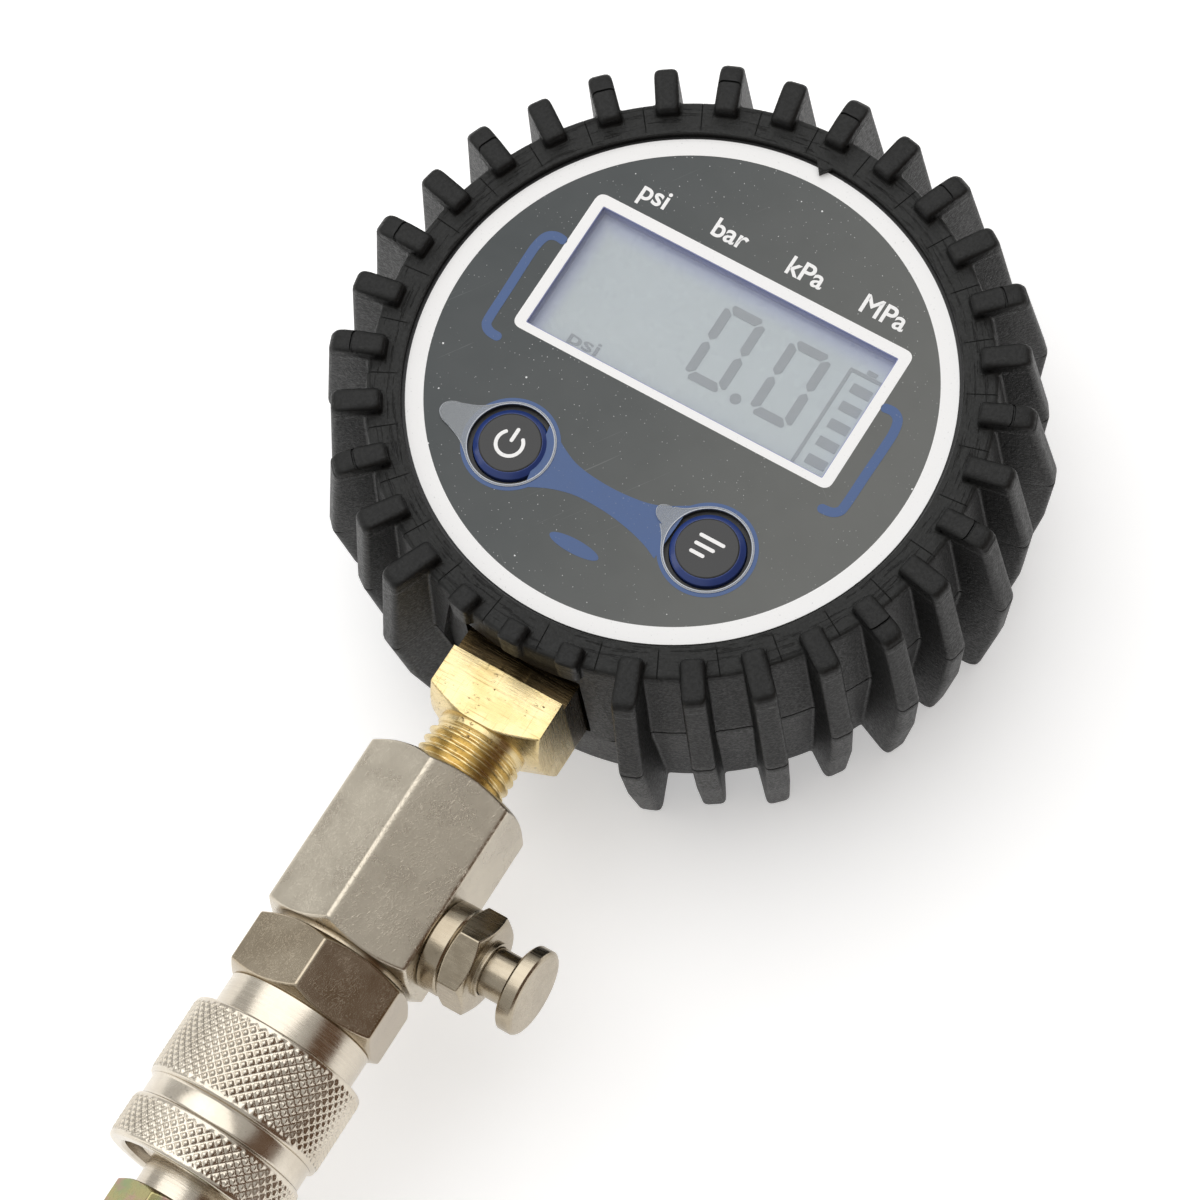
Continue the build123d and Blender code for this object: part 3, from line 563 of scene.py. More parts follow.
def brass_look():
    """Brass with cutter lines across it, faint lines down it, dark pits near its edges and painted shadow
    where it sits in the boot's port.
    """
    look = Look("brass")
    cloud = look.noise(260.0, 5.0, 0.6)
    tone = look.mix(look.between(cloud, 0.35, 0.65), (0.66, 0.515, 0.245), (0.75, 0.61, 0.34))
    across = look.noise(1.0, 4.0, 0.7, look.stretched((130.0, 3400.0, 130.0)))
    down = look.noise(1.0, 4.0, 0.7, look.stretched((3400.0, 110.0, 3400.0)))
    worn = look.between(look.noise(230.0, 3.0, 0.6), 0.50, 0.60)
    pits = look.product(look.between(look.noise(1300.0, 4.0, 0.75), 0.60, 0.67), worn)
    lined = look.tint(tone, look.between(down, 0.58, 0.66), 0.45, (0.46, 0.30, 0.11))
    lined = look.tint(lined, look.between(across, 0.58, 0.66), 0.55, (0.36, 0.22, 0.07))
    # Painted shadow: from the boot out to the block's step the brass is darkened almost to black-brown,
    # standing in for the shade inside the boot's port.
    painted_gap_shadow = look.between(look.axes()[1], -(BLOCK["step"] + 0.10) * MM, -(BLOCK["step"] - 0.25) * MM)
    lined = look.tint(lined, painted_gap_shadow, 0.88, (0.055, 0.030, 0.012))
    colour = look.tint(lined, pits, 0.85, (0.10, 0.05, 0.02))
    normal = look.bump(across, 0.045, strength=0.7)
    normal = look.bump(down, 0.03, normal, 0.5)
    normal = look.bump(pits, -0.06, normal, 0.6)
    return look.done(colour, look.between(across, 0.3, 0.7, 0.20, 0.34), normal, Metallic=1.0)


def zinc_look():
    """Yellow passivated zinc: green, pink and straw patches on bright metal."""
    look = Look("yellow_zinc")
    first = look.noise(260.0, 3.0, 0.6)
    second = look.noise(190.0, 3.0, 0.6, look.stretched((1.0, 1.6, 1.0), (0.4, 0.9, 0.2)))
    straw = look.mix(look.between(first, 0.35, 0.65), (0.40, 0.36, 0.17), (0.28, 0.37, 0.19))
    colour = look.mix(look.between(second, 0.48, 0.66), straw, (0.46, 0.28, 0.25))
    normal = look.bump(look.noise(2300.0, 3.0, 0.6), 0.015, strength=0.6)
    return look.done(colour, look.between(first, 0.3, 0.7, 0.24, 0.34), normal, Metallic=1.0)


LOOKS = {
    "rubber": rubber_look(),
    "label": label_look(),
    "white_ink": ink_look("white_ink", (0.90, 0.90, 0.90), (0.95, 0.95, 0.95), 0.38),
    "blue_ink": ink_look("blue_ink", (0.034, 0.082, 0.22), (0.055, 0.115, 0.29), 0.35),
    "lcd": lcd_look(),
    "segment": segment_look(),
    "lining": plastic_look("window_lining", (0.19, 0.22, 0.44), (0.26, 0.29, 0.52), 0.3, 0.01),
    "lens": clear_look("display_lens", (0.72, 0.76, 0.82), 0.10, 0.03),
    "film": clear_look("protective_film", (0.42, 0.45, 0.48), 0.38, 0.16),
    "film_edge": clear_look("film_edge", (0.62, 0.65, 0.70), 0.75, 0.2),
    "case": plastic_look("case_plastic", (0.016, 0.016, 0.017), (0.026, 0.026, 0.027), 0.42, 0.05, 2200.0),
    "cap": plastic_look("button_cap", (0.010, 0.011, 0.012), (0.020, 0.020, 0.021), 0.16, 0.008),
    "cap_ring": plastic_look("button_ring", (0.016, 0.036, 0.15), (0.035, 0.065, 0.24), 0.16, 0.006),
    "white_part": plastic_look("white_plastic", (0.74, 0.75, 0.74), (0.82, 0.82, 0.81), 0.35),
    "board": plastic_look("board_green", (0.015, 0.13, 0.05), (0.03, 0.20, 0.09), 0.3),
    "seal": plastic_look("black_rubber", (0.012, 0.012, 0.013), (0.022, 0.022, 0.022), 0.5),
    "cell": plastic_look("cell_wrap", (0.05, 0.055, 0.07), (0.10, 0.105, 0.12), 0.25),
    "steel": metal_look("steel", (0.55, 0.54, 0.53), (0.66, 0.65, 0.64), 0.25),
    "nickel_block": metal_look("nickel_block", (0.54, 0.485, 0.395), (0.62, 0.565, 0.465), 0.25,
                               dents=0.03),
    # Painted shade: the adapter's nickel is a darker, browner copy of the same plating, standing in for the
    # dark surroundings its flats reflect.
    "nickel_hex_shaded": metal_look("nickel_hex_shaded", (0.43, 0.36, 0.265), (0.50, 0.43, 0.325), 0.18, dents=0.007),
    "nickel_turned": metal_look("nickel_turned", (0.60, 0.54, 0.45), (0.69, 0.63, 0.53), 0.20,
                                (60.0, 3800.0, 60.0)),
    "nickel_knurl": metal_look("nickel_knurl", (0.60, 0.54, 0.45), (0.74, 0.68, 0.58), 0.20, dirt=0.5),
    # Painted shade: the bleed valve's nickel is a darker copy of the same plating, standing in for the darker
    # surroundings it sits in.
    "nickel_valve_shaded": metal_look("nickel_valve_shaded", (0.36, 0.305, 0.225), (0.47, 0.41, 0.315), 0.20,
                               (60.0, 2600.0, 2600.0)),
    "brass": brass_look(),
    "zinc": zinc_look(),
}


def dress_cad_nodes():
    """Give every CAD node that stays its own material."""
    groups = {
        "label": ["face_label"],
        "lcd": ["lcd_panel"],
        "case": ["front_case", "rear_case", "battery_door", "power_switch_body", "mode_switch_body",
                 "processor"],
        "white_part": ["backlight_panel", "lcd_holder", "power_switch_stem", "mode_switch_stem"],
        "board": ["circuit_board"],
        "lens": ["display_lens"],
        "seal": ["lcd_elastomer_strip", "sensor_seal", "gauge_thread_seal", "adapter_thread_seal",
                 "bleed_valve_washer", "poppet_seal", "socket_seal"],
        "cell": ["battery_lower", "battery_upper"],
        "brass": ["coupler_poppet"],
        "nickel_turned": ["air_plug"],
    }
    dressed = {node: LOOKS[name] for name, nodes in groups.items() for node in nodes}
    for node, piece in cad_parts.items():
        look = dressed.get(node, LOOKS["steel"])
        piece.data.materials.clear()
        piece.data.materials.append(look)


# ---- rubber boot --------------------------------------------------------------------
# Matching points of the wall between two treads and of a tread, as (radius, height), with
# the number of steps up to each.
BOOT_PROFILE = [
    ((36.45, 39.75), (36.45, 39.75), 1),
    ((36.45, 40.75), (36.45, 40.75), 2),
    ((36.52, 40.90), (36.52, 40.90), 1),
    ((36.68, 40.95), (36.68, 40.95), 1),
    ((38.30, 40.95), (38.30, 40.95), 4),
    ((38.62, 40.95), (38.68, 41.08), 2),
    ((38.80, 40.95), (38.80, 41.35), 2),
    ((38.95, 40.95), (38.80, 42.20), 3),
    ((39.00, 40.95), (38.88, 42.60), 2),
    ((39.10, 40.95), (39.08, 42.86), 2),
    ((39.30, 40.95), (39.45, 43.00), 2),
    ((40.15, 40.95), (43.12, 43.00), 8),
    ((40.19, 40.95), (43.22, 43.00), 1),
    ((40.23, 40.95), (43.38, 43.00), 1),
    ((40.27, 40.95), (43.48, 43.00), 1),
    ((40.45, 40.94), (44.30, 43.00), 3),
    ((40.70, 40.88), (44.80, 42.90), 2),
    ((40.90, 40.75), (45.16, 42.62), 2),
    ((41.05, 40.50), (45.38, 42.20), 2),
    ((41.13, 40.20), (45.47, 41.70), 2),
    ((41.17, 40.00), (45.50, 41.40), 1),
    ((42.30, 25.30), (47.58, 25.30), 14),
    ((42.26, 25.16), (47.52, 25.14), 1),
    ((41.98, 25.08), (47.24, 25.06), 1),
    ((41.98, 24.92), (47.24, 24.94), 1),
    ((42.26, 24.84), (47.52, 24.86), 1),
    ((42.30, 24.70), (47.58, 24.70), 1),
    ((40.80, 14.00), (46.35, 14.00), 7),
    ((39.08, 1.30), (43.62, 1.30), 7),
    ((38.95, 0.60), (43.40, 0.55), 2),
    ((38.65, 0.15), (43.00, 0.12), 2),
    ((38.30, 0.00), (42.50, 0.00), 2),
    ((36.50, 0.00), (36.50, 0.00), 3),
    ((31.30, 0.00), (31.30, 0.00), 1),
    ((31.00, 0.30), (31.00, 0.30), 1),
    ((31.00, 1.80), (31.00, 1.80), 1),
    ((37.30, 1.80), (37.30, 1.80), 2),
    ((37.30, 39.75), (37.30, 39.75), 3),
]
LONG_TREAD_MORE = ((0.0, 1.1), (14.0, 1.1), (25.0, 1.2), (43.0, 0.8))
STUB_OUTER_R = 42.1
STUB_FOOT_Z = 39.6
NOTCH_POINTS = (43.22, 43.38)
SEAM_DEPTH = 0.10


def boot_profiles(kind):
    """Wall and tread profiles with the same number of points. kind: plain, long, notched or stub."""
    wall, tread = [], []
    previous = (np.array(BOOT_PROFILE[-1][0]), np.array(BOOT_PROFILE[-1][1]))
    heights, extras = np.array(LONG_TREAD_MORE).T
    for low, high, steps in BOOT_PROFILE:
        low, high = np.array(low), np.array(high)
        if kind in ("long", "notched"):
            grown = np.clip((high[0] - 43.5) / 0.8, 0, 1) if high[1] > 42.95 else float(high[0] > 42.4)
            high = high + (grown * np.interp(high[1], heights, extras), 0.0)
        if kind == "notched" and high[0] > NOTCH_POINTS[0] - 0.01 and high[1] > 41.7:
            beyond = 0.08 + 0.12 * max(0.0, high[0] - 43.6)
            high = high - (0.0, 0.36 if high[0] in NOTCH_POINTS else beyond)
        if kind == "stub" and high[0] > 39.45:
            if high[1] > 41.6:
                high = np.array([min(high[0] - 2.9, STUB_OUTER_R), high[1]]) if high[0] > 43.9 else high
                high[0] = min(high[0], STUB_OUTER_R - 0.7) if high[1] > 42.95 else high[0]
            else:
                high = np.array([STUB_OUTER_R, STUB_FOOT_Z + 0.5]) if high[1] > 41 else low
        for k in range(1, steps + 1):
            t = k / steps
            wall.append(previous[0] * (1 - t) + low * t)
            tread.append(previous[1] * (1 - t) + high * t)
        previous = (low, high)
    return np.array(wall), np.array(tread)


def boot_column(wall, tread, rise, inset):
    """One column of the boot: `rise` is (height from the wall, height from the tread top)."""
    reach = np.linalg.norm(tread - wall, axis=1)
    from_wall, from_top = rise
    height = reach - from_top if from_top is not None else np.minimum(from_wall, reach)
    if from_top is not None and from_wall is not None:
        height = np.maximum(height, np.minimum(from_wall, reach))
    height = np.clip(height, 0, reach)
    share = np.where(reach > 1e-6, height / np.maximum(reach, 1e-6), 0.0)
    point = wall + (tread - wall) * share[:, None]
    inner_end = (point[:, 0] < 39.6) & (point[:, 1] > 41.0)
    shift = 0.55 - sqrt(max(0.55 ** 2 - (0.55 - min(inset, 0.55)) ** 2, 0.0))
    point[:, 0] = point[:, 0] + np.where(inner_end, shift, 0.0)
    return point


def boot_columns():
    """Angle, radius and height of every column, right round the boot."""
    half = TREAD_HALF
    root = [(half + more, (rise, None)) for more, rise in ((0.42, 0.0), (0.20, 0.05), (0.06, 0.2), (0, 0.42))]
    crown = [(half, (0.42, 0.85)), (half - 0.04, (0.42, 0.55)), (half - 0.16, (0.42, 0.28)),
             (half - 0.38, (0.42, 0.10)), (half - 0.75, (0.42, 0.0))]
    side = root + crown + [(half - 1.1, (0.42, 0.0))]
    across = side + [(0.0, (0.42, 0.0))] + [(-offset, rise) for offset, rise in side[::-1]]
    step = 360.0 / TREADS
    columns = []
    for k in range(TREADS):
        centre = -90 + k * step
        kind = "plain" if k % 2 else "notched" if 6 <= k <= 28 else "long"
        if k in (0, 1, TREADS - 1):
            kind = "stub"
        wall, tread = boot_profiles(kind)
        for offset, rise in across[::-1]:
            point = boot_column(wall, tread, rise, half - abs(offset))
            angle = radians(centre) + np.arcsin(offset / point[:, 0])
            columns.append((angle, point))
        for share, seam in ((0.408, 0), (0.420, 1), (0.432, 0), (0.5, 0), (0.58, 0)):
            point = wall.copy()
            front = (point[:, 0] > 37.0) & (point[:, 1] > 40.4)
            point[:, 1] -= np.where(front, seam * SEAM_DEPTH, 0.0)
            columns.append((np.full(len(point), radians(centre + share * step)), point))
    return columns


def nib_reach(angle):
    """How far the pointer at twelve o'clock sticks in from the lip."""
    across = abs(36.0 * np.sin(angle - pi / 2))
    return np.where(np.sin(angle) > 0, np.clip(1.15 - across, 0, 1.15) * 1.3, 0.0)


def make_boot():
    rings = []
    for angle, point in boot_columns():
        radius, height = point[:, 0].copy(), point[:, 1].copy()
        reach = nib_reach(angle)
        lip = (radius < 36.9) & (height > 39.7)
        radius = radius - np.where(lip, reach, 0.0)
        height = np.where(lip & (reach > 0) & (height < 40.1), FACE_Z + 0.04, height)
        rings.append(np.column_stack([radius * np.cos(angle), radius * np.sin(angle), height]))
    shape = Shape()
    shape.loft(np.stack(rings), joined=True)
    boot = shape.make("rubber_boot", LOOKS["rubber"], HEAD, ["boot"], angle=40)
    cut_with(boot, port_recess(), 40)
    cut_with(boot, port_opening(), 40)
    return boot


def cutter(name, rings):
    """A closed solid lofted through the rings, to be used up by cut_with."""
    shape = Shape()
    shape.loft(np.stack(rings))
    return put(name, shape.mesh(name))


def port_recess():
    """Shallow recess in the boot wall, its floor curved round the dial's axis."""
    (top_x, top_z), (side_x, side_z) = PORT_TOP, PORT_SHOULDER
    foot_x = side_x - PORT_FOOT_R
    rings = []
    for x in np.linspace(-side_x, side_x, 81):
        over = max(0.0, abs(x) - foot_x)
        low = PORT_FOOT_Z + PORT_FOOT_R - sqrt(max(PORT_FOOT_R ** 2 - over ** 2, 0.0))
        high = np.interp(abs(x), [top_x, side_x], [top_z, side_z])
        floor_y = -sqrt(PORT_FLOOR_R ** 2 - x ** 2)
        rings.append([(x, floor_y, low), (x, -50.0, low), (x, -50.0, high), (x, floor_y, high)])
    return cutter("port_recess", np.array(rings))


def port_opening():
    half, top, foot = BLOCK["half"] + PORT_GAP, BLOCK["front"] + PORT_GAP, BLOCK["back"] + PORT_GAP
    corners = [(-half, AXIS_Z + top), (-half, AXIS_Z - foot), (half, AXIS_Z - foot), (half, AXIS_Z + top)]
    edge = rounded(corners, 0.5, 4)
    return cutter("port_opening", [np.column_stack([edge[:, 0], np.full(len(edge), y), edge[:, 1]])
                                   for y in (-30.0, -50.0)])


def cut_with(piece, cutter, angle):
    """Subtract the cutter from the piece and throw the cutter away."""
    tool = piece.modifiers.new("cut", "BOOLEAN")
    tool.operation = "DIFFERENCE"
    tool.solver = "EXACT"
    tool.object = cutter
    bpy.context.view_layer.update()
    scene_state = bpy.context.evaluated_depsgraph_get()
    result = bpy.data.meshes.new_from_object(piece.evaluated_get(scene_state))
    piece.modifiers.clear()
    old = piece.data
    piece.data = result
    smooth(result, angle)
    bpy.data.meshes.remove(old)
    bpy.data.objects.remove(cutter)


# ---- dial ---------------------------------------------------------------------------
FRAME_OUTER = (24.05, 11.05)
FRAME_OUTER_Y = 7.8
BRACKET = [(23.95, 10.3), (25.6, 10.45), (26.75, 9.75), (27.2, 8.1), (27.25, 5.9), (27.12, 1.0),
           (27.02, -3.9), (26.72, -5.05), (25.8, -5.62), (24.05, -5.76)]
BRIDGE_TOP = [(-11.91, -12.94), (-9.6, -14.3), (-5.97, -16.0), (-1.59, -16.6), (2.78, -16.46), (6.3, -15.7),
              (9.9, -13.7)]
BRIDGE_FOOT = [(9.6, -22.3), (7.4, -21.3), (4.3, -20.45), (0.7, -19.9), (-3.62, -19.85), (-7.08, -20.66),
               (-10.2, -22.1)]
HALO_R = 6.55
CAPITAL_HEIGHT = 0.73            # of the font at size 1
LETTER_GROW = 0.017              # how much bolder than the font, at size 1


def make_dial_print():
    low, high = FACE_Z + 0.002, FACE_Z + INK
    white = Shape()
    white.band(circle(35.95, count=240), circle(33.54, count=240), low, high)
    outer = rectangle(*FRAME_OUTER, FRAME_OUTER_Y, 1.35, 8)
    inner = rectangle(*WINDOW, WINDOW_Y, 0.2, 8)
    white.band(outer, inner, low, high)
    white.make("dial_white_print", LOOKS["white_ink"], HEAD)
    blue = Shape()
    for side in (-1, 1):
        line = flowing([(side * x, y) for x, y in BRACKET])
        blue.stroke(line, 1.3, low, high)
    low, high = FACE_Z + 0.002, FACE_Z + 0.8 * INK
    blue.strip(flowing(BRIDGE_TOP), flowing(BRIDGE_FOOT)[::-1], low, high)
    blue.plate(circle(3.65, (-0.2, -25.95), 64, 0.27), low, high)
    blue.make("dial_blue_print", LOOKS["blue_ink"], HEAD)
    halo = Shape()
    for side in (-1, 1):
        centre = (side * BUTTON_X, BUTTON_Y)
        halo.band(circle(HALO_R, centre), circle(MOAT_R, centre), low, FACE_Z + 0.9 * INK)
    halo.make("button_halo_print", LOOKS["blue_ink"], HEAD)


def thickened(mesh, grow):
    """Points of flat letters with their outlines moved outwards by `grow`."""
    flat = bmesh.new()
    flat.from_mesh(mesh)
    bmesh.ops.remove_doubles(flat, verts=flat.verts, dist=1e-5)
    moved = []
    for vert in flat.verts:
        normals = []
        for edge in vert.link_edges:
            if edge.is_boundary:
                along = edge.verts[1].co - edge.verts[0].co
                away = Vector((along.y, -along.x, 0.0)).normalized()
                inward = edge.link_faces[0].calc_center_median() - edge.verts[0].co
                normals.append(-away if away.dot(inward) > 0 else away)
        shift = normals[0] + normals[1] if len(normals) == 2 else Vector((0.0, 0.0, 0.0))
        moved.append(vert.co + shift * 2 * grow / max(shift.length_squared, 0.3))
    faces = [tuple(v.index for v in face.verts) for face in flat.faces]
    flat.free()
    return np.array([tuple(point) for point in moved]), faces


def lettering(name, text, x, y, height, width, z, look):
    """A generic unit name with the given capital height and, unless None, overall width."""
    curve = bpy.data.curves.new(name, "FONT")
    curve.body = text
    curve.size = 1.0
    curve.resolution_u = 6
    source = put(name + "_curve", curve)
    bpy.context.view_layer.update()
    flat = bpy.data.meshes.new_from_object(source.evaluated_get(bpy.context.evaluated_depsgraph_get()))
    bpy.data.objects.remove(source)
    points, faces = thickened(flat, LETTER_GROW)
    across = (width / (points[:, 0].max() - points[:, 0].min())) if width else height / CAPITAL_HEIGHT
    points[:, 0] = x + (points[:, 0] - points[:, 0].min()) * across
    points[:, 1] = y + points[:, 1] * height / CAPITAL_HEIGHT
    points[:, 2] = z
    mesh = bpy.data.meshes.new(name)
    mesh.from_pydata((points * MM).tolist(), [], faces)
    bpy.data.meshes.remove(flat)
    block = bmesh.new()
    block.from_mesh(mesh)
    bmesh.ops.remove_doubles(block, verts=block.verts, dist=1e-7)
    made = bmesh.ops.extrude_face_region(block, geom=block.faces[:])
    lifted = [v for v in made["geom"] if isinstance(v, bmesh.types.BMVert)]
    bmesh.ops.translate(block, verts=lifted, vec=(0, 0, INK * MM))
    bmesh.ops.recalc_face_normals(block, faces=block.faces)
    block.to_mesh(mesh)
    block.free()
    mesh.materials.append(look)
    piece = put(name, mesh)
    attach(piece, HEAD)


def make_unit_line():
    low = FACE_Z + 0.002
    height, baseline = 2.85, 20.7
    for text, x in (("psi", -19.3), ("bar", -8.2), ("kPa", 3.2), ("MPa", 14.4)):
        lettering("unit_" + text, text, x, baseline, height, None, low, LOOKS["white_ink"])


# ---- display ------------------------------------------------------------------------
SEGMENT_W = 1.32
SEGMENT_GAP = 0.14


def digit_segments(shape, x0, x1, y0, y1, low, high):
    """The six lit segments of a nought, with mitred ends."""
    w, g = SEGMENT_W, SEGMENT_GAP
    middle = (y0 + y1) / 2
    for foot, sign in ((y1, -1), (y0, 1)):
        level, shoulder = foot + sign * w, foot + sign * w * 0.38
        bar = [(x0 + 1.0, foot), (x1 - 1.0, foot), (x1 - w * 0.62, shoulder), (x1 - w - g, level),
               (x0 + w + g, level), (x0 + w * 0.62, shoulder)]
        shape.plate(rounded(bar, 0.12, 2), low, high)
    for edge, sign in ((x0, 1), (x1, -1)):
        for far, near, way in ((y1, middle, -1), (y0, middle, 1)):
            column = [(edge, far + way * 1.0), (edge + sign * w * 0.42, far + way * w * 0.62),
                      (edge + sign * w, far + way * (w + g)), (edge + sign * w, near - way * w * 0.62),
                      (edge + sign * w * 0.5, near - way * g), (edge, near - way * w * 0.55)]
            shape.plate(rounded(column, 0.12, 2), low, high)


def make_window_lining():
    """Edge of the light guide round the display, which glows violet down to the glass."""
    shape = Shape()
    inner = rectangle(WINDOW[0] - 0.1, WINDOW[1] - 0.1, WINDOW_Y, 0.2, 8)
    outer = rectangle(WINDOW[0] - 0.005, WINDOW[1] - 0.005, WINDOW_Y, 0.2, 8)
    shape.band(outer, inner, LCD_TOP_Z + 0.01, FACE_Z - 0.02)
    shape.make("window_lining", LOOKS["lining"], HEAD)


def make_display():
    low, high = LCD_TOP_Z + 0.005, LCD_TOP_Z + 0.05
    shape = Shape()
    digit_segments(shape, -1.42, 4.75, 2.1, 14.1, low, high)
    digit_segments(shape, 8.55, 14.8, 2.0, 13.95, low, high)
    shape.plate(circle(0.78, (6.53, 2.65), 32), low, high)
    frame_line = [(17.2, -2.6), (17.7, -2.6), (17.7, 13.4), (22.6, 13.4), (22.6, 13.95), (17.2, 13.95)]
    shape.plate(rounded(frame_line, 0.1, 2), low, high)
    shape.plate(rounded([(19.45, 14.05), (20.95, 14.05), (20.95, 14.7), (19.45, 14.7)], 0.1, 2), low, high)
    for k in range(5):
        top = 12.2 - 2.84 * k
        foot = top - 1.45
        cell = [(18.75, foot), (21.65, foot), (21.65, top), (18.75, top)]
        shape.plate(rounded(cell, 0.08, 2), low, high)
    shape.make("display_segments", LOOKS["segment"], HEAD)
    lettering("display_unit", "psi", -17.05, -1.15, 2.05, 4.55, low, LOOKS["segment"])


# ---- buttons ------------------------------------------------------------------------
def button_axis(side):
    return Axis((side * BUTTON_X, BUTTON_Y, 0), (0, 0, 1), (0, 1, 0))


def make_button(side, name, body, cap_node):
    axis = button_axis(side)
    cap = Shape()
    crown = [(0.02, 40.50), (3.95, 40.52), (4.12, 40.46), (4.16, 40.36), (3.6, 40.2), (0.02, 40.2)]
    cap.loft(lathe(axis, crown, 0.05, 96, closed=False), part=0)
    skirt = [(4.1, 40.22), (4.14, 40.42), (4.22, 40.42), (4.93, 39.84), (4.95, 39.6), (4.95, 37.97),
             (5.48, 37.93), (5.48, 37.38), (3.0, 37.36), (3.0, 40.2)]
    cap.loft(lathe(axis, skirt, 0.06, 96), joined=True, part=1)
    return cap.make(name, [LOOKS["cap"], LOOKS["cap_ring"]], body, [cap_node])


def symbol(name, strokes, side, body):
    """Thin raised symbol on a button from pen strokes round the button's centre."""
    shape = Shape()
    for line in strokes:
        shape.stroke(np.array(line) + (side * BUTTON_X, BUTTON_Y), 0.5, CAP_TOP_Z - 0.02, CAP_TOP_Z + 0.03)
    shape.make(name, LOOKS["white_ink"], body)


def make_symbols():
    arc = [(1.8 * sin(radians(a)), -0.15 + 1.8 * cos(radians(a))) for a in np.linspace(38, 322, 40)]
    symbol("power_symbol", [arc, [(0, 2.3), (0, 0.1)]], -1, "power_button")
    bars = [[(-1.9, y), (x, y)] for y, x in ((1.25, 1.9), (0.0, 1.1), (-1.25, 0.3))]
    symbol("mode_symbol", bars, 1, "mode_button")


def film_radius(angles, reach, tip_r, base_r):
    """Radius of a teardrop: a circle of base_r with a rounded tip at distance `reach`."""
    lean = acos((base_r - tip_r) / reach)
    away = np.abs((angles + pi) % (2 * pi) - pi)
    line = base_r / np.maximum(np.cos(away - lean), 0.05)
    inside = tip_r ** 2 - (reach * np.sin(away)) ** 2
    tip = reach * np.cos(away) + np.sqrt(np.maximum(inside, 0))
    tab = np.where(inside > 0, np.minimum(line, tip), line)
    share = np.clip((np.where(away < lean, tab, base_r) - base_r) / (reach + tip_r - base_r), 0, 1)
    return base_r + (reach + tip_r - base_r) * share ** 1.75


def make_film(side, turn, reach, tip_r, name, node):
    """Clear film ring round a button with its pull tab lifting off the dial."""
    base_r, inner_r, thick, tip_lift = 5.95, 5.74, 0.09, 0.35
    axis = button_axis(side)
    angles = np.linspace(0, 2 * pi, 240, endpoint=False)
    outer = film_radius(angles - radians(90 - turn), reach, tip_r, base_r)
    shares = np.concatenate([np.linspace(0, 1, 14), [1.0], np.linspace(1, 0, 14)])
    rings = []
    for k, share in enumerate(shares):
        radius = inner_r + (outer - inner_r) * share
        lift = tip_lift * np.clip((radius - base_r) / (reach + tip_r - base_r), 0, 1) ** 2
        height = FACE_Z + 0.045 + lift + (thick if k < 14 else 0.0 if k > 14 else thick / 2)
        rings.append(axis.points(radius, angles, height))
    film = Shape()
    film.loft(np.stack(rings[:14] + rings[15:]), joined=True)
    film.make(name, LOOKS["film"], HEAD, [node])
    rim = Shape()
    bead = [(-0.07, 0.0), (0.0, 0.07), (0.07, 0.0), (0.0, -0.03)]
    loops = []
    for across, up in bead:
        lift = tip_lift * np.clip((outer - base_r) / (reach + tip_r - base_r), 0, 1) ** 2
        loops.append(axis.points(outer + across, angles, FACE_Z + 0.1 + lift + up))
    rim.loft(np.stack(loops), joined=True)
    ring = [(MOAT_R + 0.02, 40.03), (MOAT_R + 0.02, 40.16), (MOAT_R + 0.16, 40.16), (MOAT_R + 0.16, 40.03)]
    rim.loft(lathe(axis, ring, 0.03, 120), joined=True)
    rim.make(name + "_edge", LOOKS["film_edge"], HEAD)


# ---- brass fitting ------------------------------------------------------------------
def make_fitting():
    half, front, back = BLOCK["half"], BLOCK["front"], BLOCK["back"]
    flats = [(front, 0), (half, 90), (back, 180), (half, 270)]
    corner_angles = []
    for x, z in ((half, front), (half, -back), (-half, -back), (-half, front)):
        corner_angles.append(float(np.degrees(np.arctan2(x, z))))
    shape = Shape()
    step = BLOCK["step"]
    rings = turned_prism(STEM, flats, corner_angles, BLOCK["start"], BLOCK["end"], BLOCK["end_r"], 5.0,
                         150.0, both=False, extra=(step - 0.08, step, step + 0.04))
    station, height = -rings[..., 1], rings[..., 2]
    low_front = AXIS_Z + front - np.where(station < step - 0.04, BLOCK["drop"], 0.06)
    rings[..., 2] = np.where(station < step + 0.02, np.minimum(height, low_front), height)
    shape.loft(rings, joined=True)
    neck = [(5.0, 45.0), (6.2, 45.0), (6.2, 51.7), (5.85, 52.0), (5.8, 52.6), (5.0, 52.6)]
    shape.loft(lathe(STEM, neck, 0.1, 120), joined=True)
    angles = np.linspace(0, 2 * pi, 120, endpoint=False)
    start, end = THREAD_SPAN
    distance = np.arange(start, end, THREAD_PITCH / 14)
    turn = distance[:, None] / THREAD_PITCH - angles[None, :] / (2 * pi)
    wave = np.abs(2 * (turn % 1.0) - 1)
    crest = np.clip(wave * 1.35 - 0.17, 0, 1)
    ramp = np.clip((distance - start) / 0.7, 0, 1)[:, None]
    radius = THREAD_ROOT_R + (THREAD_R - THREAD_ROOT_R) * crest * ramp
    thread = STEM.points(radius, angles[None, :], distance[:, None])
    inner = STEM.points(np.array([[3.5], [3.5]]), angles[None, :], np.array([[end - 0.1], [start]]))
    shape.loft(np.concatenate([thread, inner]), joined=True)
    ear_half, ear_height, ear_long = 14.2, 4.0, 4.0
    ear = rounded([(-ear_half, 0.0), (-ear_half, -ear_height), (ear_half, -ear_height), (ear_half, 0.0)], 0.3)
    rings = [np.column_stack([ear[:, 0], np.full(len(ear), -y), AXIS_Z + ear[:, 1]])
             for y in (BLOCK["start"], BLOCK["start"] + ear_long)]
    shape.loft(np.stack(rings))
    return shape.make("brass_fitting", LOOKS["brass"], HEAD, ["gauge_fitting"], angle=32)


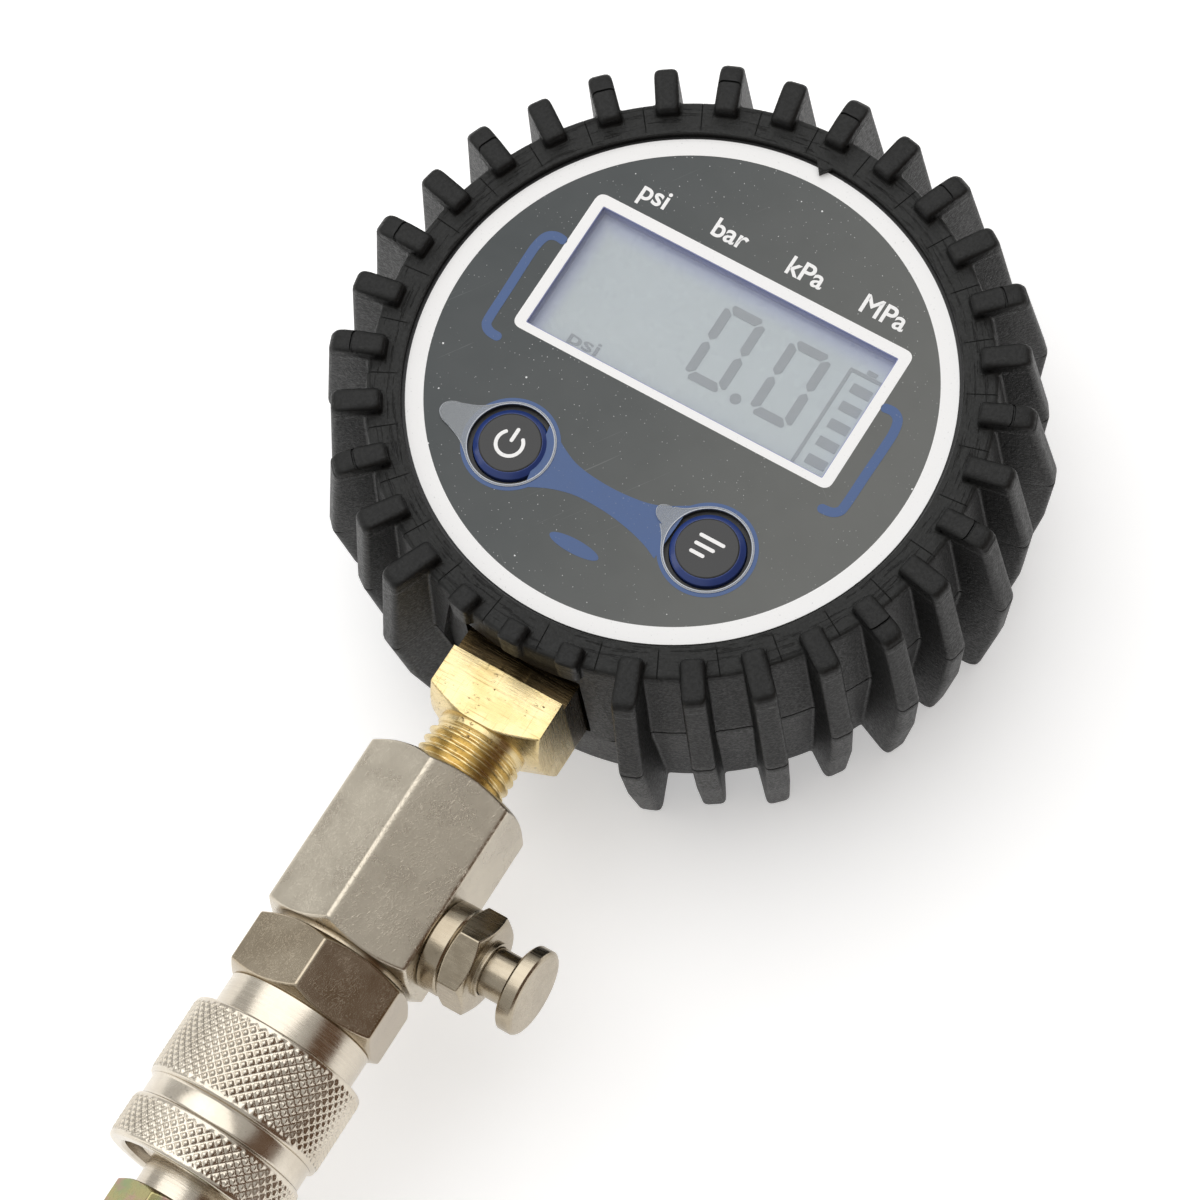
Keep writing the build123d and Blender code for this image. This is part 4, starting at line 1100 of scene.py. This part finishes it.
def make_sealant():
    """Smear of thread sealant squeezed out where the thread enters the manifold."""
    angles = np.linspace(0, 2 * pi, 120, endpoint=False)
    lump = 0.30
    for size, waves, turn in ((0.22, 3, 0.6), (0.2, 7, 2.0), (0.12, 13, 0.0)):
        lump = lump + size * np.sin(waves * angles + turn)
    lump = np.clip(lump, 0.03, 0.8)
    section = [(6.2, 58.5, 0.0), (6.3, 57.95, 0.8), (6.75, 57.9, 0.9), (7.05, 58.15, 0.4), (6.9, 58.5, 0.0)]
    rings = [STEM.points(radius + 0.35 * lump * share, angles, station - 0.8 * lump * share)
             for radius, station, share in section]
    shape = Shape()
    shape.loft(np.stack(rings), joined=True)
    shape.make("thread_sealant", LOOKS["seal"], HEAD)


# ---- manifold and bleed valve -------------------------------------------------------
def make_manifold():
    rings = hexagon_rings(STEM, 21.0, 26.0, 58.2, 84.4, 6.57, 65.0)
    machined("manifold", "nickel_block", HEAD, "manifold_body", [rings], angle=30)


def make_bleed_valve():
    # The valve uses the darker copy of the nickel, which is painted shade.
    look, rider, face = "nickel_valve_shaded", "bleed_valve", VALVE_FACE
    collar = [(3.4, face - 3), (3.9, face - 3), (3.9, face + 0.02), (5.85, face + 0.02), (6.15, face + 0.3),
              (6.15, 13.2), (5.9, 13.5), (3.4, 13.5)]
    machined("valve_collar", look, HEAD, "bleed_valve_seat", [lathe(VALVE, collar, 0.12)])
    boss = [(3.42, 17.3), (3.95, 17.3), (3.85, 17.55), (3.85, 18.1), (3.42, 18.1)]
    nut = [hexagon_rings(VALVE, 12.0, 37.7, 13.5, 17.5, 3.42), lathe(VALVE, boss, 0.1, 96)]
    machined("valve_nut", look, HEAD, "bleed_valve_nut", nut, angle=30)
    neck = [(0.05, 9.0), (1.2, 9.0), (1.2, 15.0), (3.35, 15.0), (3.35, 22.0), (3.55, 22.25), (0.05, 22.3)]
    machined("valve_neck", look, rider, "bleed_valve_stem", [lathe(VALVE, neck, 0.1, 96, False)], False)
    knob = [(0.05, 22.2), (5.5, 22.2), (5.9, 22.55), (5.9, 24.22), (5.62, 24.5), (5.2, 24.6), (0.05, 24.6)]
    machined("valve_knob", look, rider, "bleed_valve_knob", [lathe(VALVE, knob, 0.16, 144, False)], False)


# ---- quick coupler ------------------------------------------------------------------
def make_coupler():
    neck = [(7.0, 83.0), (9.2, 83.0), (9.2, 85.4), (7.0, 85.4)]
    adapter = [hexagon_rings(STEM, 20.8, 32.7, 85.0, 93.9, 8.0), lathe(STEM, neck, 0.05, 96)]
    # The adapter uses the darker copy of the nickel, which is painted shade.
    machined("adapter_hexagon", "nickel_hex_shaded", HEAD, "coupler_adapter", adapter, angle=30)
    barrel = [(6.15, 104.6), (4.75, 104.4), (4.75, 97.5), (8.4, 93.6), (9.7, 93.7), (10.14, 94.05),
              (10.14, 99.8), (8.1, 99.9), (8.1, 116.7), (7.65, 116.8), (7.65, 117.6), (8.1, 117.7),
              (8.1, 118.0), (7.8, 118.3), (6.45, 118.3), (6.15, 118.0)]
    machined("coupler_barrel", "nickel_turned", HEAD, "coupler_body", [lathe(STEM, barrel, 0.12)])


KNURL_COUNT = 54
KNURL_SAMPLES = 8
KNURL_DEPTH = 0.34
SLEEVE_GROOVE_R = 11.55
SLEEVE_BANDS = ((98.9, 110.0, 12.27), (113.0, 119.4, 12.2))


def knurl_height(turns, rows):
    """Diamond knurl between 0 in the grooves and 1 on the points."""
    first = np.abs(2 * ((turns + rows) % 1.0) - 1)
    second = np.abs(2 * ((turns - rows) % 1.0) - 1)
    ridge = np.minimum(first, second)
    return np.clip(ridge * 1.6, 0, 1)


def band_rows(start, end, radius, angles):
    """Rings over one knurled band with a smooth, rounded rim at each end."""
    pitch = 2 * pi * radius / KNURL_COUNT
    rim = np.array([0.0, 0.05, 0.18, 0.36, 0.55, 0.72])
    middle = np.arange(start + 0.85, end - 0.8, pitch / KNURL_SAMPLES)
    distance = np.concatenate([start + rim, middle, end - rim[::-1]])
    inset = np.minimum(distance - start, end - distance)
    rim_r = 0.45
    edge = rim_r - np.sqrt(np.maximum(rim_r ** 2 - (rim_r - np.minimum(inset, rim_r)) ** 2, 0))
    turns = angles * KNURL_COUNT / (2 * pi)
    rows = (distance - middle[0]) / pitch
    height = knurl_height(turns[None, :], rows[:, None])
    fade = np.clip((inset - 0.55) / 0.35, 0, 1)[:, None]
    radii = radius - edge[:, None] - 0.10 * (1 - fade) - KNURL_DEPTH * (1 - height) * fade
    return radii, distance


def make_sleeve():
    angles = np.linspace(0, 2 * pi, KNURL_COUNT * KNURL_SAMPLES, endpoint=False)
    radii, distance = [], []
    for k, (start, end, radius) in enumerate(SLEEVE_BANDS):
        rows, stations = band_rows(start, end, radius, angles)
        radii.append(rows)
        distance.append(stations)
        if k == 0:
            depth = np.array([0.2, 0.05, 0, 0, 0, 0.05, 0.2]) + SLEEVE_GROOVE_R
            radii.append(np.repeat(depth[:, None], len(angles), axis=1))
            distance.append(np.array([110.02, 110.12, 110.4, 111.5, 112.6, 112.88, 112.98]))
    bore = [(11.4, 119.4), (10.3, 119.4), (9.9, 119.0), (9.9, 116.8), (9.59, 116.8), (8.17, 112.0),
            (8.17, 109.5), (10.2, 109.5), (10.2, 99.1), (10.4, 98.9), (11.3, 98.9)]
    inner = rounded(bore, 0.04, 3, False)
    radii.append(np.repeat(inner[:, 0][:, None], len(angles), axis=1))
    distance.append(inner[:, 1])
    rings = STEM.points(np.concatenate(radii), angles[None, :], np.concatenate(distance)[:, None])
    machined("knurled_sleeve", "nickel_knurl", "sleeve", "coupler_sleeve", [rings], angle=50)


def make_hose_hexagon():
    rings = hexagon_rings(STEM, 14.0, 20.0, 122.7, 138.7, 4.283)
    machined("hose_hexagon", "zinc", "plug", "hose_adapter", [rings], angle=30)


# ---- studio -------------------------------------------------------------------------
CAMERA_PLACE = (0.16178, -0.19302, 0.57815)
CAMERA_FORWARD = (-0.266086, 0.278551, -0.922826)
CAMERA_UP = (-0.460823, 0.804100, 0.375587)
CAMERA_LENS = 137.59
SENSOR = 36.0
ROOM_LIGHT = (0.56, 0.555, 0.545)
ROOM_SHADE = (0.13, 0.075, 0.045)
ROOM_SEEN = (0.90, 0.90, 0.90)
FLOOR_HALF = 3.0e3
FLOOR_TOP_Z = -0.05
FLOOR_GLOW = 0.42


def make_camera():
    data = bpy.data.cameras.new("camera")
    data.lens = CAMERA_LENS
    data.sensor_width = SENSOR
    data.clip_start = 0.01
    camera = put("camera", data)
    forward = Vector(CAMERA_FORWARD).normalized()
    right = forward.cross(Vector(CAMERA_UP)).normalized()
    up = right.cross(forward)
    turn = Matrix((right, up, -forward)).transposed().to_4x4()
    camera.matrix_world = Matrix.Translation(CAMERA_PLACE) @ turn
    bpy.context.scene.camera = camera


def make_floor():
    look = Look("floor")
    cloud = look.noise(3.0, 2.0, 0.5)
    tone = look.mix(cloud, (0.83, 0.83, 0.83), (0.86, 0.86, 0.86))
    material = look.done(tone, 0.6, Emission_Color=(1.0, 1.0, 1.0, 1.0), Emission_Strength=FLOOR_GLOW)
    shape = Shape()
    shape.plate(rectangle(FLOOR_HALF, FLOOR_HALF, 0.0, 50.0), -20.0, FLOOR_TOP_Z)
    mesh = shape.mesh("floor", [material])
    smooth(mesh, 30)
    floor = put("floor", mesh)


def softbox(name, place, aim, size, power, colour=(1.0, 1.0, 1.0)):
    data = bpy.data.lights.new(name, "AREA")
    data.shape = "RECTANGLE"
    data.size, data.size_y = size
    data.energy = power
    data.color = colour
    lamp = put(name, data)
    lamp.location = place
    lamp.rotation_euler = (Vector(aim) - Vector(place)).to_track_quat("-Z", "Y").to_euler()


def make_surroundings():
    """Pale room for the camera; lights and reflections see it darker low down on the +X side."""
    world = bpy.data.worlds.new("studio")
    world.use_nodes = True
    bpy.context.scene.world = world
    nodes = Nodes(world.node_tree)
    way = nodes.node("SeparateXYZ", {}, {0: nodes.node("TexCoord", {}, {}).outputs["Generated"]}).outputs
    shade = nodes.product(nodes.between(way[2], 0.76, 0.62), nodes.between(way[0], 0.25, 0.55))
    room = nodes.mix(shade, ROOM_LIGHT, ROOM_SHADE)
    seen = nodes.node("LightPath", {}, {}).outputs["Is Camera Ray"]
    nodes.feed(nodes.tree.nodes["Background"].inputs["Color"], nodes.mix(seen, room, ROOM_SEEN))


def make_studio():
    make_surroundings()
    softbox("key", (-0.34, 0.30, 1.12), (0, -0.02, 0.03), (1.5, 1.5), 9.5)
    softbox("side", (-0.9, -0.5, 0.45), (0, -0.05, 0.03), (0.5, 0.9), 1.2, (1.0, 0.985, 0.96))
    bpy.context.scene.view_settings.view_transform = "Standard"


# ---- build --------------------------------------------------------------------------
make_camera()
make_floor()
make_studio()
dress_cad_nodes()
make_boot()
make_dial_print()
make_unit_line()
make_window_lining()
make_display()
make_button(-1, "power_cap", "power_button", "power_button_cap")
make_button(1, "mode_cap", "mode_button", "mode_button_cap")
make_symbols()
make_film(-1, 180.0, 8.6, 2.0, "power_film", "power_button_film")
make_film(1, 167.6, 7.3, 1.4, "mode_film", "mode_button_film")
make_fitting()
make_sealant()
make_manifold()
make_bleed_valve()
make_coupler()
make_sleeve()
make_hose_hexagon()
